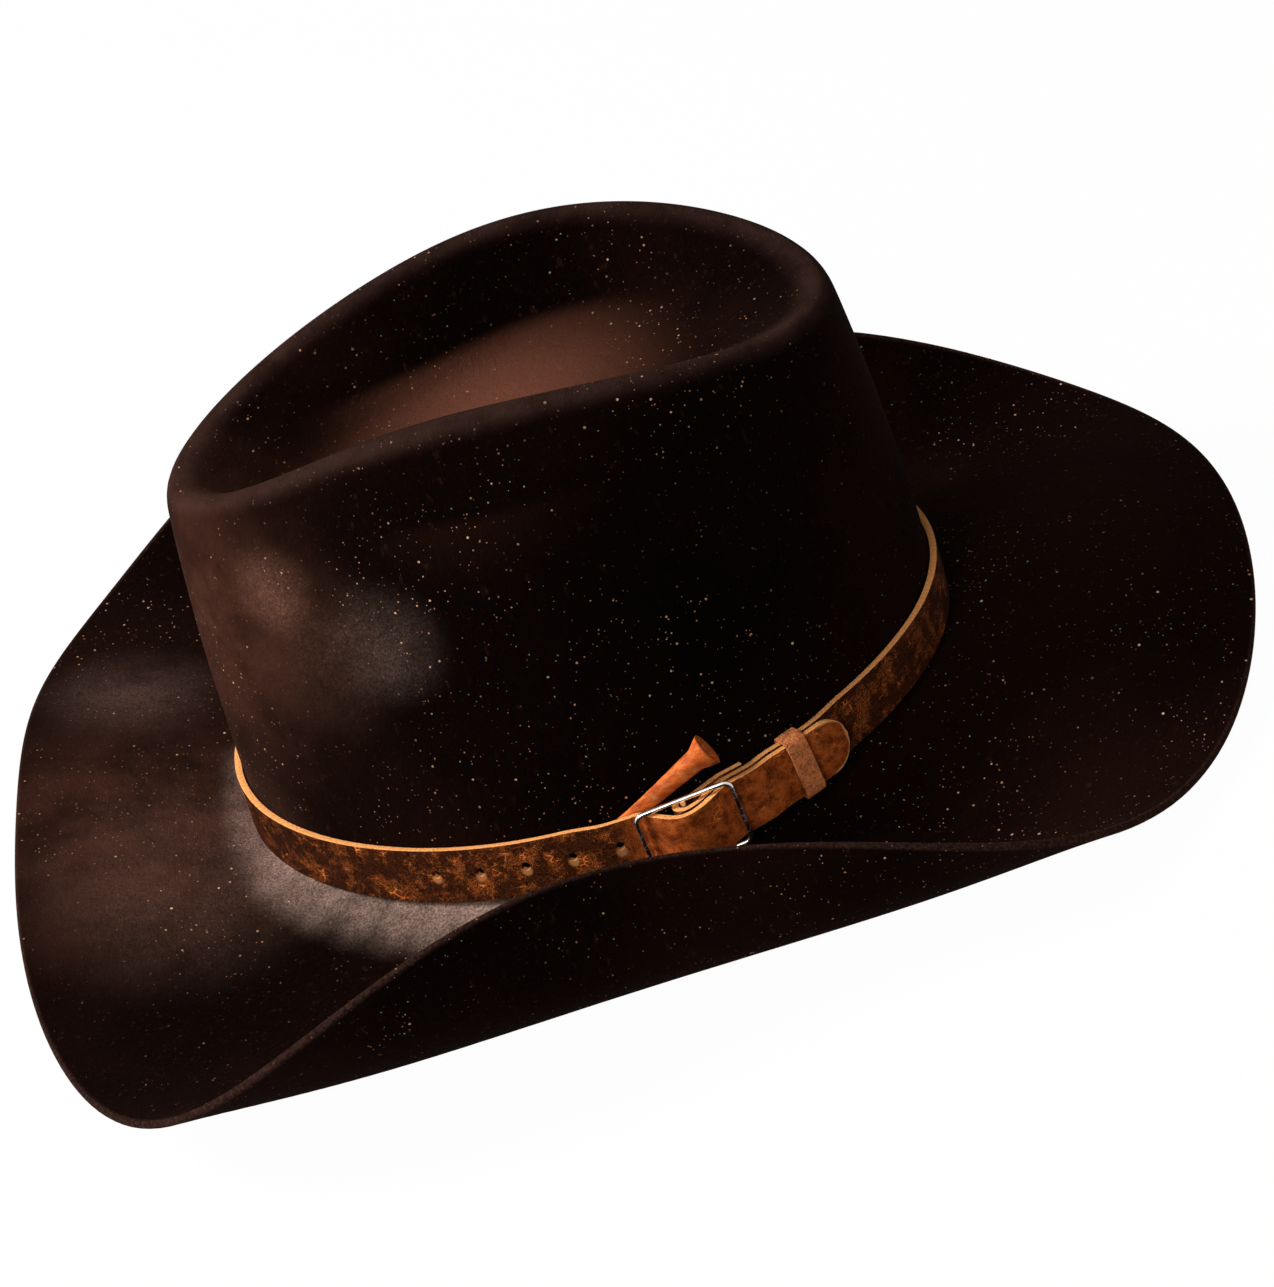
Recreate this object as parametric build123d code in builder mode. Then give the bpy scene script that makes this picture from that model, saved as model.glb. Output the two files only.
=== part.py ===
from build123d import *
import os
from math import atan2, cos, degrees, pi, radians, sin, tan

# A western felt hat. +X is the back, -X the front, +Y the wearer's right, +Z up.
# Angles run round the head: 0 is the back, 90 the right side, 180 the front, 270 the left side.

# ---- felt body -------------------------------------------------------------------------------
FELT = 2.4                  # felt thickness
BASE_HALF_LENGTH = 107.0    # crown at the brim break, outside the felt
BASE_HALF_WIDTH = 87.1
BASE_OVAL_POINT = 0.01      # how much the oval draws in at its quarters
# Station values: back, back quarter, side, front quarter, front.
CREST_INSET = (4.7, 20.4, 40.5, 34.2, 19.2)       # crown's top edge, inward from the base
CREST_HEIGHT = (115.2, 129.1, 136.4, 127.4, 116.9)
CREST_WIDTH = 9.0           # flat of the top edge before it is rounded
CREST_ROUND = 4.0           # how far its rounding reaches along that flat
WALL_BULGE = 1.8            # how far the crown's side swells at mid height
DISH_INSET = (42.0, 48.0, 65.0, 62.0, 50.0)       # floor of the crease, inward from the base
DISH_REACH = 6.0            # floor that runs on from there to the foot of the dish wall
DISH_HEIGHT = 105.5         # crease floor above the brim break, at the middle
DISH_RISE = 0.06            # slope of the crease floor, up towards the back
BRIM_WIDTH = (91.8, 94.8, 93.0, 109.2, 73.4)      # along its curve
BRIM_ROOT_SLOPE = (5.2, -31.1, -21.0, -9.0, 23.1)
BRIM_EDGE_SLOPE = (-20.0, 40.3, 131.8, 26.4, 13.5)
BRIM_ROLL_START = 0.09      # share of the width where the slope starts to turn
BRIM_ROLL_SPAN = 0.98       # share of the width over which it turns
BREAK_ROUND = 3.0           # how far the rounding at the brim break reaches
SECTION_STEP = 15           # degrees between the felt's sections
FLOOR_STEP = 0.1            # thinning of the crease floor's middle

# ---- hat band --------------------------------------------------------------------------------
STRAP = 2.0                 # leather thickness
STRAP_WIDTH = 16.4
STRAP_FOOT = 2.1            # lower edge above the brim break
STRAP_CLEAR = 0.6           # strap to felt
LAYER_CLEAR = 0.6           # strap to strap, measured across
BUCKLE_ANGLE = 283.0        # where the buckle's centre bar stands
BUCKLE_LENGTH = 28.4        # end bar to end bar, between centre lines
WIRE_RADIUS = 0.75
BAR_RADIUS = 0.9
WIRE_CLEAR = 1.1            # end bars to strap, for the buckle's tilt
SIDE_CLEAR = 0.6            # side wires and keeper to the strap's edges
FOLD_CLEAR = 0.45           # fold to centre bar
CORNER_RADIUS = 2.4         # of the bent wire
BAR_SEAT = 0.4              # how far the centre bar's ends are pressed into the frame wire
RETURN_LENGTH = 20.0        # folded-back end, from the centre bar
KEEPER_PLACE = 35.0         # centre of the keeper, from the centre bar
KEEPER_WIDTH = 6.5
KEEPER = 1.0                # suede thickness
KEEPER_CLEAR = 0.45
KEEPER_TRAVEL = 2.5
TIP_PLACE = 51.0            # end of the billet, from the centre bar
TIP_RADIUS = 8.0
HOLE_RADIUS = 1.3
HOLE_PITCH = 14.0
HOLE_COUNT = 5
HOLE_FIRST = 20.4           # first punched hole, from the centre bar
FOLD_STITCHES = 4
FOLD_STITCH_RADIUS = 0.35

# ---- tucked peg ------------------------------------------------------------------------------
PEG_PLACE = 11.5            # where it passes the strap's upper edge, before the centre bar
PEG_OUT = 1.55              # its middle there, outside the felt
PEG_TUCK = 9.0              # length behind the strap
PEG_LENGTH = 35.0           # from its tail to its head
PEG_CLEAR = 0.6             # tail to felt and to strap
PEG_TAIL_WIDTH = 4.6
PEG_TAIL_DEPTH = 1.1
PEG_NECK_RADIUS = 3.3
PEG_HEAD_RADIUS = 5.2
PEG_HEAD_LENGTH = 4.5       # over which it flares out
PEG_LEAN = 66.0             # degrees from upright, towards the back
PEG_TILT = 4.5              # degrees off the crown's side

# ---- inside ----------------------------------------------------------------------------------
TAPE_CLEAR = 0.15           # reed tape to felt
TAPE = 0.4
TAPE_FOOT = -1.2            # all heights are above the brim break
TAPE_HEIGHT = 8.0
SWEATBAND_CLEAR = 0.15      # sweatband to tape
SWEATBAND = 1.2
SWEATBAND_FOOT = 1.8
SWEATBAND_HEIGHT = 54.0
SEAM_GAP = 0.6
SEAM_STITCHES = 8
SEAM_STITCH_PITCH = 6.0
REED = 2.0                  # square section, rounded
REED_CLEAR = 0.3            # reed to the sweatband's lower edge
STITCH_LENGTH = 3.0
STITCH_COUNT = 60
THREAD = 0.4
LINING = 0.4
LINING_CLEAR = 0.5          # lining to felt, and to the sweatband's upper edge
LINING_TOP = 94.0
PIPING = 1.0
BOW_WIDTH = 20.0
BOW_HEIGHT = 6.0
BOW_DEPTH = 1.0
BOW_PLACE = 9.0


# ---- shape of the head and crown ---------------------------------------------------------------
def around(angle, stations):
    """Smooth value at an angle, through values evenly spaced from the back to the front."""
    last = len(stations) - 1
    total = 0.0
    for wave in range(last + 1):
        share = 0.0
        for index, value in enumerate(stations):
            ends = 0.5 if index in (0, last) else 1.0
            share += ends * value * cos(wave * index * pi / last)
        ends = 0.5 if wave in (0, last) else 1.0
        total += ends * share * 2 / last * cos(wave * radians(angle))
    return total


def base_point(angle):
    """Point of the base oval, round the head's centre."""
    turn = radians(angle)
    draw = 1 + BASE_OVAL_POINT * (cos(4 * turn) - 1)
    return Vector(BASE_HALF_LENGTH * cos(turn) * draw, BASE_HALF_WIDTH * sin(turn) * draw)


def base_normal(angle):
    """Outward direction of the base oval."""
    before, after = base_point(angle - 0.1), base_point(angle + 0.1)
    along = (after - before).normalized()
    return Vector(along.Y, -along.X)


def towards(start, end, distance):
    return start + (end - start).normalized() * distance


def brim_line(angle, count):
    """Points of the brim's upper face in its upright section, from the break to the edge."""
    root = around(angle, BRIM_ROOT_SLOPE)
    edge = around(angle, BRIM_EDGE_SLOPE)
    width = around(angle, BRIM_WIDTH)
    fine = 8
    points = [Vector(0, 0)]
    place = Vector(0, 0)
    for step in range(count * fine):
        share = ((step + 0.5) / (count * fine) - BRIM_ROLL_START) / BRIM_ROLL_SPAN
        share = min(max(share, 0), 1)
        slope = radians(root + (edge - root) * share * share * (3 - 2 * share))
        place = place + Vector(cos(slope), sin(slope)) * (width / (count * fine))
        if (step + 1) % fine == 0:
            points.append(place)
    return points


BRIM_SPANS = 6
outside = []
for angle in range(0, 181, 3):
    line = brim_line(angle, 40)
    for before, after in zip(line, line[1:]):
        fall = (after - before).normalized()
        for depth in (0, FELT):
            reach = base_point(angle) + base_normal(angle) * (after.X + depth * fall.Y)
            outside.append(Vector(reach.X, reach.Y, after.Y - depth * fall.X))
# The hat rests on its brim, and the break of the brim lies this high above the table.
BREAK_Z = -min(point.Z for point in outside)
BREAK_X = -(min(point.X for point in outside) + max(point.X for point in outside)) / 2
BREAK = Plane(origin=(BREAK_X, 0, BREAK_Z))


def wall_reach(angle, height):
    """Outer face of the crown's side, outward from the base oval, at a height above the break."""
    crest = around(angle, CREST_HEIGHT)
    share = height / crest
    straight = (CREST_WIDTH / 2 - around(angle, CREST_INSET)) * share
    return straight + 4 * WALL_BULGE * share * (1 - share)


def wall_lean(angle, height):
    """Lean of the crown's side from upright, in degrees."""
    rise = wall_reach(angle, height + 1) - wall_reach(angle, height - 1)
    return degrees(atan2(-rise, 2))


def wall_point(angle, height, out):
    """Point at a height above the break, this far outside the crown's outer face, level."""
    return base_point(angle) + base_normal(angle) * (wall_reach(angle, height) + out)


def section_plane(angle):
    """Upright plane across the brim: its x runs outwards from the base oval, its y up."""
    place, normal = base_point(angle), base_normal(angle)
    origin = BREAK.from_local_coords(Vector(place.X, place.Y, 0))
    return Plane(origin=origin, x_dir=(normal.X, normal.Y, 0), z_dir=(normal.Y, -normal.X, 0))


def dish_floor(angle, inset):
    """Point of the crease floor in the upright section, inward from the base oval."""
    place = base_point(angle) - base_normal(angle) * inset
    return Vector(-inset, DISH_HEIGHT + DISH_RISE * place.X)


def dish_outline(dish):
    """Outline of the crease floor's middle, a little past the lofted felt's inner edge."""
    outline = []
    for angle in range(0, 360, SECTION_STEP):
        inset = around(angle, DISH_INSET) - DISH_REACH / 6
        place = base_point(angle) - base_normal(angle) * inset
        on_floor = Vector(place.X, place.Y, DISH_HEIGHT + DISH_RISE * place.X)
        outline.append(dish.to_local_coords(BREAK.from_local_coords(on_floor)))
    return outline


def felt_line(angle):
    """Control points of the felt's outer face: crease floor, dish wall, crest, side, brim."""
    inset = around(angle, CREST_INSET)
    height = around(angle, CREST_HEIGHT)
    floor_edge = dish_floor(angle, around(angle, DISH_INSET))
    dish_foot = dish_floor(angle, around(angle, DISH_INSET) - DISH_REACH)
    crest_in = Vector(-inset - CREST_WIDTH / 2, height)
    crest_out = Vector(-inset + CREST_WIDTH / 2, height)
    base = Vector(0, 0)
    side = (crest_out - base).normalized()
    swell = (crest_out + base) / 2 + Vector(side.Y, -side.X) * 2 * WALL_BULGE
    brim = brim_line(angle, BRIM_SPANS)
    return [
        floor_edge,
        towards(dish_foot, floor_edge, DISH_REACH * 0.6),
        dish_foot,
        towards(dish_foot, crest_in, DISH_REACH),
        towards(crest_in, dish_foot, CREST_ROUND * 1.5),
        crest_in,
        towards(crest_in, crest_out, CREST_ROUND),
        towards(crest_out, crest_in, CREST_ROUND),
        crest_out,
        towards(crest_out, swell, CREST_ROUND * 2),
        swell,
        towards(base, swell, BREAK_ROUND),
        base,
        towards(base, brim[1], BREAK_ROUND),
    ] + brim[1:]


def shifted(line, distance):
    """The same line moved to its right by a distance, corner by corner."""
    moved = []
    for index, point in enumerate(line):
        before = line[max(index - 1, 0)]
        after = line[min(index + 1, len(line) - 1)]
        first = (point - before if index > 0 else after - point).normalized()
        second = (after - point if index < len(line) - 1 else point - before).normalized()
        right = Vector(first.Y, -first.X)
        middle = (right + Vector(second.Y, -second.X)).normalized()
        moved.append(point + middle * (distance / middle.dot(right)))
    return moved


def felt_side(line):
    """Lines and curves through one face's control points, from the crease floor to the brim."""
    for first, last in ((0, 1), (1, 3), (3, 4), (4, 6), (6, 7), (7, 9), (9, 11), (11, 13)):
        if last - first == 1:
            Line(line[first], line[last])
        else:
            Bezier(line[first:last + 1])
    brim = line[13:]
    spans = [index / (len(brim) - 1) for index in range(len(brim))]
    add(Edge.make_spline(brim, parameters=spans))


with BuildPart() as felt_body:
    for angle in range(0, 181, SECTION_STEP):
        with BuildSketch(section_plane(angle)):
            with BuildLine():
                outer = felt_line(angle)
                inner = shifted(outer, FELT)
                felt_side(outer)
                felt_side(inner)
                Line(outer[0], inner[0])
                Line(outer[-1], inner[-1])
            make_face()
    loft()
    mirror(about=Plane.XZ)
    # The middle of the crease floor, a little thinner so that it ends inside the lofted felt.
    dish = Plane(origin=BREAK.from_local_coords(Vector(0, 0, DISH_HEIGHT)), x_dir=(1, 0, DISH_RISE),
                 z_dir=(-DISH_RISE, 0, 1))
    with BuildSketch(dish.offset(-FLOOR_STEP)):
        with BuildLine():
            Spline(dish_outline(dish), periodic=True)
        make_face()
    extrude(amount=2 * FLOOR_STEP - FELT)


# ---- hat band: the strap's path -----------------------------------------------------------------
def angle_along(distance):
    """Angle at a distance along the base oval from the buckle's centre bar, towards the back."""
    step = 0.25 if distance > 0 else -0.25
    angle, run = BUCKLE_ANGLE, 0.0
    while True:
        leg = (base_point(angle + step) - base_point(angle)).length
        if run + leg >= abs(distance):
            return angle + step * (abs(distance) - run) / leg
        angle, run = angle + step, run + leg


def ease(share):
    """Smooth step from 0 to 1."""
    share = min(max(share, 0), 1)
    return share * share * (3 - 2 * share)


STRAP_MIDDLE = STRAP_FOOT + STRAP_WIDTH / 2
LYING = STRAP_CLEAR + STRAP / 2                     # strap on the felt: middle of the leather
LAYER = STRAP + LAYER_CLEAR                         # middle to middle of two layers
FOLD_RADIUS = BAR_RADIUS + FOLD_CLEAR + STRAP / 2
KEPT = STRAP_CLEAR + KEEPER + KEEPER_CLEAR + STRAP / 2   # lower layer inside the keeper
LIFTED = 2 * PEG_CLEAR + PEG_TAIL_DEPTH + STRAP / 2  # billet where the peg passes behind it
OVER = LYING + LAYER                                # strap over its own return end
END_BAR = BUCKLE_LENGTH / 2
CROWN_FALL = END_BAR ** 2 / (2 * BASE_HALF_LENGTH ** 2 / BASE_HALF_WIDTH)
NEAR_BAR = LIFTED + STRAP / 2 + WIRE_CLEAR + WIRE_RADIUS - CROWN_FALL
FAR_BAR = OVER + LAYER + STRAP / 2 + WIRE_CLEAR + WIRE_RADIUS - CROWN_FALL
BAR_OUT = (NEAR_BAR + FAR_BAR) / 2                  # centre bar, outside the felt
KEEPER_HALF = KEEPER_WIDTH / 2 + KEEPER_TRAVEL + 1


def return_level(run):
    top = BAR_OUT - FOLD_RADIUS
    return LYING + (top - LYING) * ease((END_BAR - run) / END_BAR)


def strap_level(run):
    """Middle of the strap that comes round the head to the buckle, outside the felt."""
    if run < END_BAR:
        top = BAR_OUT + FOLD_RADIUS
        return OVER + (top - OVER) * ease((END_BAR - run) / END_BAR)
    kept_start, kept_end = KEEPER_PLACE - KEEPER_HALF, KEEPER_PLACE + KEEPER_HALF
    if run < kept_end:
        return OVER + (KEPT - OVER) * ease((run - RETURN_LENGTH) / (kept_start - RETURN_LENGTH))
    return KEPT + (LYING - KEPT) * ease((run - kept_end) / END_BAR)


def billet_level(run):
    """Middle of the billet, which lies over the strap."""
    if run >= 0:
        return strap_level(run) + LAYER
    top = BAR_OUT + FOLD_RADIUS + LAYER
    if run > -END_BAR:
        return LIFTED + (top - LIFTED) * ease((END_BAR + run) / (END_BAR - 1))
    return LYING + (LIFTED - LYING) * ease((2.5 * END_BAR + run) / END_BAR)


def strap_path():
    """Middle line of the whole strap, as distance along the head and distance off the felt."""
    path = []
    run = RETURN_LENGTH
    while run > 0.5:
        path.append(Vector(run, return_level(run)))
        run -= 2.0
    for turn in range(-90, 91, 22):
        place = radians(turn)
        path.append(Vector(-FOLD_RADIUS * cos(place), BAR_OUT + FOLD_RADIUS * sin(place)))
    run = 2.0
    while run < KEEPER_PLACE + KEEPER_HALF + END_BAR + 2:
        path.append(Vector(run, strap_level(run)))
        run += 2.0
    lap = sum((base_point(a + 1) - base_point(a)).length for a in range(360))
    around_steps = 48
    start, end = run, lap - 2.5 * END_BAR - 2
    for step in range(around_steps + 1):
        path.append(Vector(start + (end - start) * step / around_steps, LYING))
    run = 4.0 - 2.5 * END_BAR
    while run < TIP_PLACE - 0.5:
        path.append(Vector(lap + run, billet_level(run)))
        run += 2.0
    path.append(Vector(lap + TIP_PLACE, billet_level(TIP_PLACE)))
    return path


STRAP_SPAN = 8              # path points to each curve of the strap's outline


def strap_outline(height):
    """The strap cut level at a height above the break: its two faces and its two ends."""
    path = strap_path()
    faces = []
    for side in (-STRAP / 2, STRAP / 2):
        face = []
        for place in shifted(path, side):
            angle = angle_along(place.X)
            face.append(wall_point(angle, height, place.Y))
        faces.append(face)
    for face in faces:
        for first in range(0, len(face) - 1, STRAP_SPAN):
            Spline(face[first:first + STRAP_SPAN + 1])
    Line(faces[0][0], faces[1][0])
    Line(faces[0][-1], faces[1][-1])


def wall_plane(run, out, height=STRAP_MIDDLE):
    """Plane lying on the crown's side: x along the strap, y up the side, z straight out."""
    angle = angle_along(run)
    lean = radians(wall_lean(angle, height))
    normal = base_normal(angle)
    place = wall_point(angle, height, out)
    origin = BREAK.from_local_coords(Vector(place.X, place.Y, height))
    along = (-normal.Y, normal.X, 0)
    outward = (normal.X * cos(lean), normal.Y * cos(lean), sin(lean))
    return Plane(origin=origin, x_dir=along, z_dir=outward)


with BuildPart() as band_strap:
    for height in (STRAP_FOOT, STRAP_FOOT + STRAP_WIDTH):
        with BuildSketch(BREAK.offset(height)):
            with BuildLine():
                strap_outline(height)
            make_face()
    loft()
    # The billet's end is rounded as seen from outside; the layer below it is left alone.
    tip = wall_plane(TIP_PLACE - TIP_RADIUS, billet_level(TIP_PLACE) - STRAP / 2 - LAYER_CLEAR / 2)
    with BuildSketch(tip):
        with Locations((TIP_RADIUS, 0)):
            Rectangle(2.4 * TIP_RADIUS, 2 * STRAP_WIDTH)
        with Locations((-2 * TIP_RADIUS, 0)):
            Rectangle(4 * TIP_RADIUS, 3 * STRAP_WIDTH, mode=Mode.SUBTRACT)
        Circle(TIP_RADIUS * 1.05, mode=Mode.SUBTRACT)
    extrude(amount=3 * STRAP, mode=Mode.SUBTRACT)
    for index in range(HOLE_COUNT):
        with BuildSketch(wall_plane(-HOLE_FIRST - index * HOLE_PITCH, -STRAP_CLEAR)):
            Circle(HOLE_RADIUS)
        extrude(amount=3 * STRAP, mode=Mode.SUBTRACT)

# ---- buckle, keeper and peg -----------------------------------------------------------------------
LEAN = radians(wall_lean(BUCKLE_ANGLE, STRAP_MIDDLE))
STRAP_SLANT = STRAP_WIDTH / cos(LEAN)                  # strap's width along the leaning side
FRAME_WIDTH = STRAP_SLANT + STRAP * sin(LEAN) + 2 * (SIDE_CLEAR + WIRE_RADIUS)
under_bar = wall_plane(0, BAR_OUT)
frame_tilt = atan2(FAR_BAR - NEAR_BAR, BUCKLE_LENGTH)
frame_along = under_bar.x_dir * cos(frame_tilt) + under_bar.z_dir * sin(frame_tilt)
frame_out = under_bar.z_dir * cos(frame_tilt) - under_bar.x_dir * sin(frame_tilt)
frame_plane = Plane(origin=under_bar.origin, x_dir=frame_along, z_dir=frame_out)

with BuildPart() as buckle_frame:
    with BuildLine(frame_plane) as frame_wire:
        half_length, half_width = BUCKLE_LENGTH / 2, FRAME_WIDTH / 2
        FilletPolyline(
            (-half_length, -half_width),
            (-half_length, half_width),
            (half_length, half_width),
            (half_length, -half_width),
            radius=CORNER_RADIUS,
            close=True,
        )
    with BuildSketch(Plane(origin=frame_wire.line @ 0, z_dir=frame_wire.line % 0)):
        Circle(WIRE_RADIUS)
    sweep()

with BuildPart() as buckle_centre_bar:
    bar_length = FRAME_WIDTH - 2 * WIRE_RADIUS + 2 * BAR_SEAT
    bar_plane = Plane(origin=frame_plane.origin, z_dir=frame_plane.y_dir)
    with BuildSketch(bar_plane):
        Circle(BAR_RADIUS)
    extrude(amount=bar_length / 2, both=True)

with BuildPart() as band_keeper:
    on_strap = wall_plane(KEEPER_PLACE, KEPT + LAYER / 2)
    level_out = Vector(on_strap.x_dir.Y, -on_strap.x_dir.X, 0)
    kept_lean = radians(wall_lean(angle_along(KEEPER_PLACE), STRAP_MIDDLE))
    with BuildSketch(Plane(origin=on_strap.origin, x_dir=level_out, z_dir=-on_strap.x_dir)):
        for grow, mode in ((KEEPER, Mode.ADD), (0, Mode.SUBTRACT)):
            half_height = STRAP_WIDTH / 2 + SIDE_CLEAR + grow
            half_depth = (LAYER + STRAP) / 2 + KEEPER_CLEAR + grow
            slant = tan(kept_lean) * half_height
            with BuildLine():
                FilletPolyline(
                    (slant - half_depth, -half_height),
                    (slant + half_depth, -half_height),
                    (half_depth - slant, half_height),
                    (-half_depth - slant, half_height),
                    radius=KEEPER * 0.5 + grow,
                    close=True,
                )
            make_face(mode=mode)
    extrude(amount=KEEPER_WIDTH / 2, both=True)

with BuildPart() as fold_stitches:
    place = (END_BAR + RETURN_LENGTH) / 2
    pitch = STRAP_SLANT / (FOLD_STITCHES + 1)
    with BuildSketch(wall_plane(place, LYING - STRAP / 2 - THREAD / 2)):
        with GridLocations(0, pitch, 1, FOLD_STITCHES):
            Circle(FOLD_STITCH_RADIUS)
    extrude(amount=OVER - LYING + STRAP + THREAD)

with BuildPart() as tucked_peg:
    edge = wall_plane(-PEG_PLACE, PEG_OUT, STRAP_FOOT + STRAP_WIDTH)
    lean, tilt = radians(PEG_LEAN), radians(PEG_TILT)
    lying = edge.x_dir * sin(lean) + edge.y_dir * cos(lean)
    peg_axis = lying * cos(tilt) + edge.z_dir * sin(tilt)
    peg_tail = edge.origin - peg_axis * PEG_TUCK
    peg_side = peg_axis.cross(edge.z_dir).normalized()
    neck = PEG_LENGTH - PEG_HEAD_LENGTH
    sections = (
        (0, PEG_TAIL_WIDTH / 2, PEG_TAIL_DEPTH / 2),
        (PEG_TUCK, PEG_TAIL_WIDTH / 2, PEG_TAIL_DEPTH / 2),
        (neck, PEG_NECK_RADIUS, PEG_NECK_RADIUS * 0.9),
        (PEG_LENGTH, PEG_HEAD_RADIUS, PEG_HEAD_RADIUS * 0.9),
    )
    for distance, half_width, half_depth in sections:
        with BuildSketch(Plane(peg_tail + peg_axis * distance, x_dir=peg_side, z_dir=peg_axis)):
            Ellipse(half_width, half_depth)
    loft()


# ---- inside the crown -----------------------------------------------------------------------------
def oval(height, inset):
    """Oval inside the crown's outer face at a height above the break."""
    return [wall_point(angle, height, -inset) for angle in range(0, 360, SECTION_STEP)]


def ring_face(height, inset, thickness):
    """Ring inside the crown, between an outer oval and one a thickness further in."""
    with BuildLine() as outer:
        Spline(oval(height, inset), periodic=True)
    with BuildLine() as inner:
        Spline(oval(height, inset + thickness), periodic=True)
    make_face(outer.edges())
    make_face(inner.edges(), mode=Mode.SUBTRACT)


def back_plane(height, inset):
    """Upright plane inside the crown's back: x to the wearer's right, z into the head."""
    place = BREAK.from_local_coords(Vector(wall_point(0, height, -inset).X, 0, height))
    return Plane(origin=place, x_dir=(0, 1, 0), z_dir=(-1, 0, 0))


TAPE_INSET = FELT + TAPE_CLEAR
SWEATBAND_INSET = TAPE_INSET + TAPE + SWEATBAND_CLEAR
SWEATBAND_TOP = SWEATBAND_FOOT + SWEATBAND_HEIGHT
HEAD_INSET = SWEATBAND_INSET + SWEATBAND               # the sweatband's inner face

with BuildPart() as sweatband:
    for height in (SWEATBAND_FOOT, SWEATBAND_FOOT + SWEATBAND_HEIGHT / 2, SWEATBAND_TOP):
        with BuildSketch(BREAK.offset(height)):
            ring_face(height, SWEATBAND_INSET, SWEATBAND)
    loft()
    with BuildSketch(back_plane(SWEATBAND_FOOT, HEAD_INSET + SWEATBAND)):
        Rectangle(SEAM_GAP, 3 * SWEATBAND_HEIGHT)
    extrude(amount=-4 * SWEATBAND, mode=Mode.SUBTRACT)

with BuildPart() as reed_tape:
    for height in (TAPE_FOOT, TAPE_FOOT + TAPE_HEIGHT):
        with BuildSketch(BREAK.offset(height)):
            ring_face(height, TAPE_INSET, TAPE)
    loft()

with BuildPart() as sweatband_reed:
    reed_foot = SWEATBAND_FOOT - REED_CLEAR - REED
    with BuildSketch(BREAK.offset(reed_foot)):
        ring_face(reed_foot, SWEATBAND_INSET + REED / 3, REED)
    extrude(amount=REED)
    fillet(sweatband_reed.edges(), REED / 4)

with BuildPart() as sweatband_stitching:
    stitch_height = reed_foot - THREAD
    for index in range(STITCH_COUNT):
        angle = (index + 0.5) * 360 / STITCH_COUNT
        normal = base_normal(angle)
        place = wall_point(angle, stitch_height, -SWEATBAND_INSET - REED)
        origin = BREAK.from_local_coords(Vector(place.X, place.Y, stitch_height))
        with BuildSketch(Plane(origin=origin, x_dir=(-normal.Y, normal.X, 0), z_dir=(0, 0, 1))):
            Rectangle(STITCH_LENGTH, THREAD)
        extrude(amount=THREAD / 2)

with BuildPart() as sweatband_seam_stitches:
    for index in range(SEAM_STITCHES):
        height = SWEATBAND_FOOT + (index + 1) * SEAM_STITCH_PITCH
        with BuildSketch(back_plane(height, HEAD_INSET + THREAD / 2)):
            Rectangle(STITCH_LENGTH, THREAD)
        extrude(amount=THREAD)

with BuildPart() as sweatband_bow:
    with BuildSketch(back_plane(BOW_PLACE, HEAD_INSET + THREAD + BOW_DEPTH)):
        with Locations((-BOW_WIDTH / 4, 0), (BOW_WIDTH / 4, 0)):
            Ellipse(BOW_WIDTH / 4, BOW_HEIGHT / 2)
        RectangleRounded(BOW_HEIGHT * 0.7, BOW_HEIGHT * 0.8, 1)
        with Locations(Location((-BOW_WIDTH / 5, -BOW_HEIGHT / 2), -35)):
            Rectangle(BOW_HEIGHT / 2, BOW_HEIGHT)
        with Locations(Location((BOW_WIDTH / 5, -BOW_HEIGHT / 2), 35)):
            Rectangle(BOW_HEIGHT / 2, BOW_HEIGHT)
    extrude(amount=BOW_DEPTH)

with BuildPart() as lining_side:
    lining_foot = SWEATBAND_TOP + LINING_CLEAR
    for height in (lining_foot, (lining_foot + LINING_TOP) / 2, LINING_TOP):
        with BuildSketch(BREAK.offset(height)):
            ring_face(height, FELT + LINING_CLEAR, LINING)
    loft()

with BuildPart() as lining_tip:
    tip_height = LINING_TOP + LINING / 2
    with BuildSketch(BREAK.offset(tip_height)):
        with BuildLine():
            Spline(oval(tip_height, FELT + LINING_CLEAR), periodic=True)
        make_face()
    extrude(amount=LINING)

with BuildPart() as lining_piping:
    piping_inset = FELT + LINING_CLEAR + LINING * 1.5
    with BuildSketch(BREAK.offset(LINING_TOP - PIPING)):
        ring_face(LINING_TOP - PIPING / 2, piping_inset, PIPING)
    extrude(amount=PIPING)


# ---- hand over ------------------------------------------------------------------------------------
pieces = {
    "felt_body": felt_body,
    "band_strap": band_strap,
    "buckle_frame": buckle_frame,
    "buckle_centre_bar": buckle_centre_bar,
    "band_keeper": band_keeper,
    "fold_stitches": fold_stitches,
    "tucked_peg": tucked_peg,
    "sweatband": sweatband,
    "reed_tape": reed_tape,
    "sweatband_reed": sweatband_reed,
    "sweatband_stitching": sweatband_stitching,
    "sweatband_seam_stitches": sweatband_seam_stitches,
    "sweatband_bow": sweatband_bow,
    "lining_side": lining_side,
    "lining_tip": lining_tip,
    "lining_piping": lining_piping,
}

os.makedirs("parts", exist_ok=True)
for name, piece in pieces.items():
    piece.part.label = name
    export_step(piece.part, "parts/" + name + ".step")
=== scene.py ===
from math import atan2, cos, hypot, pi, radians, sin, sqrt, tan

import bpy
from mathutils import Matrix, Vector, noise


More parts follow.
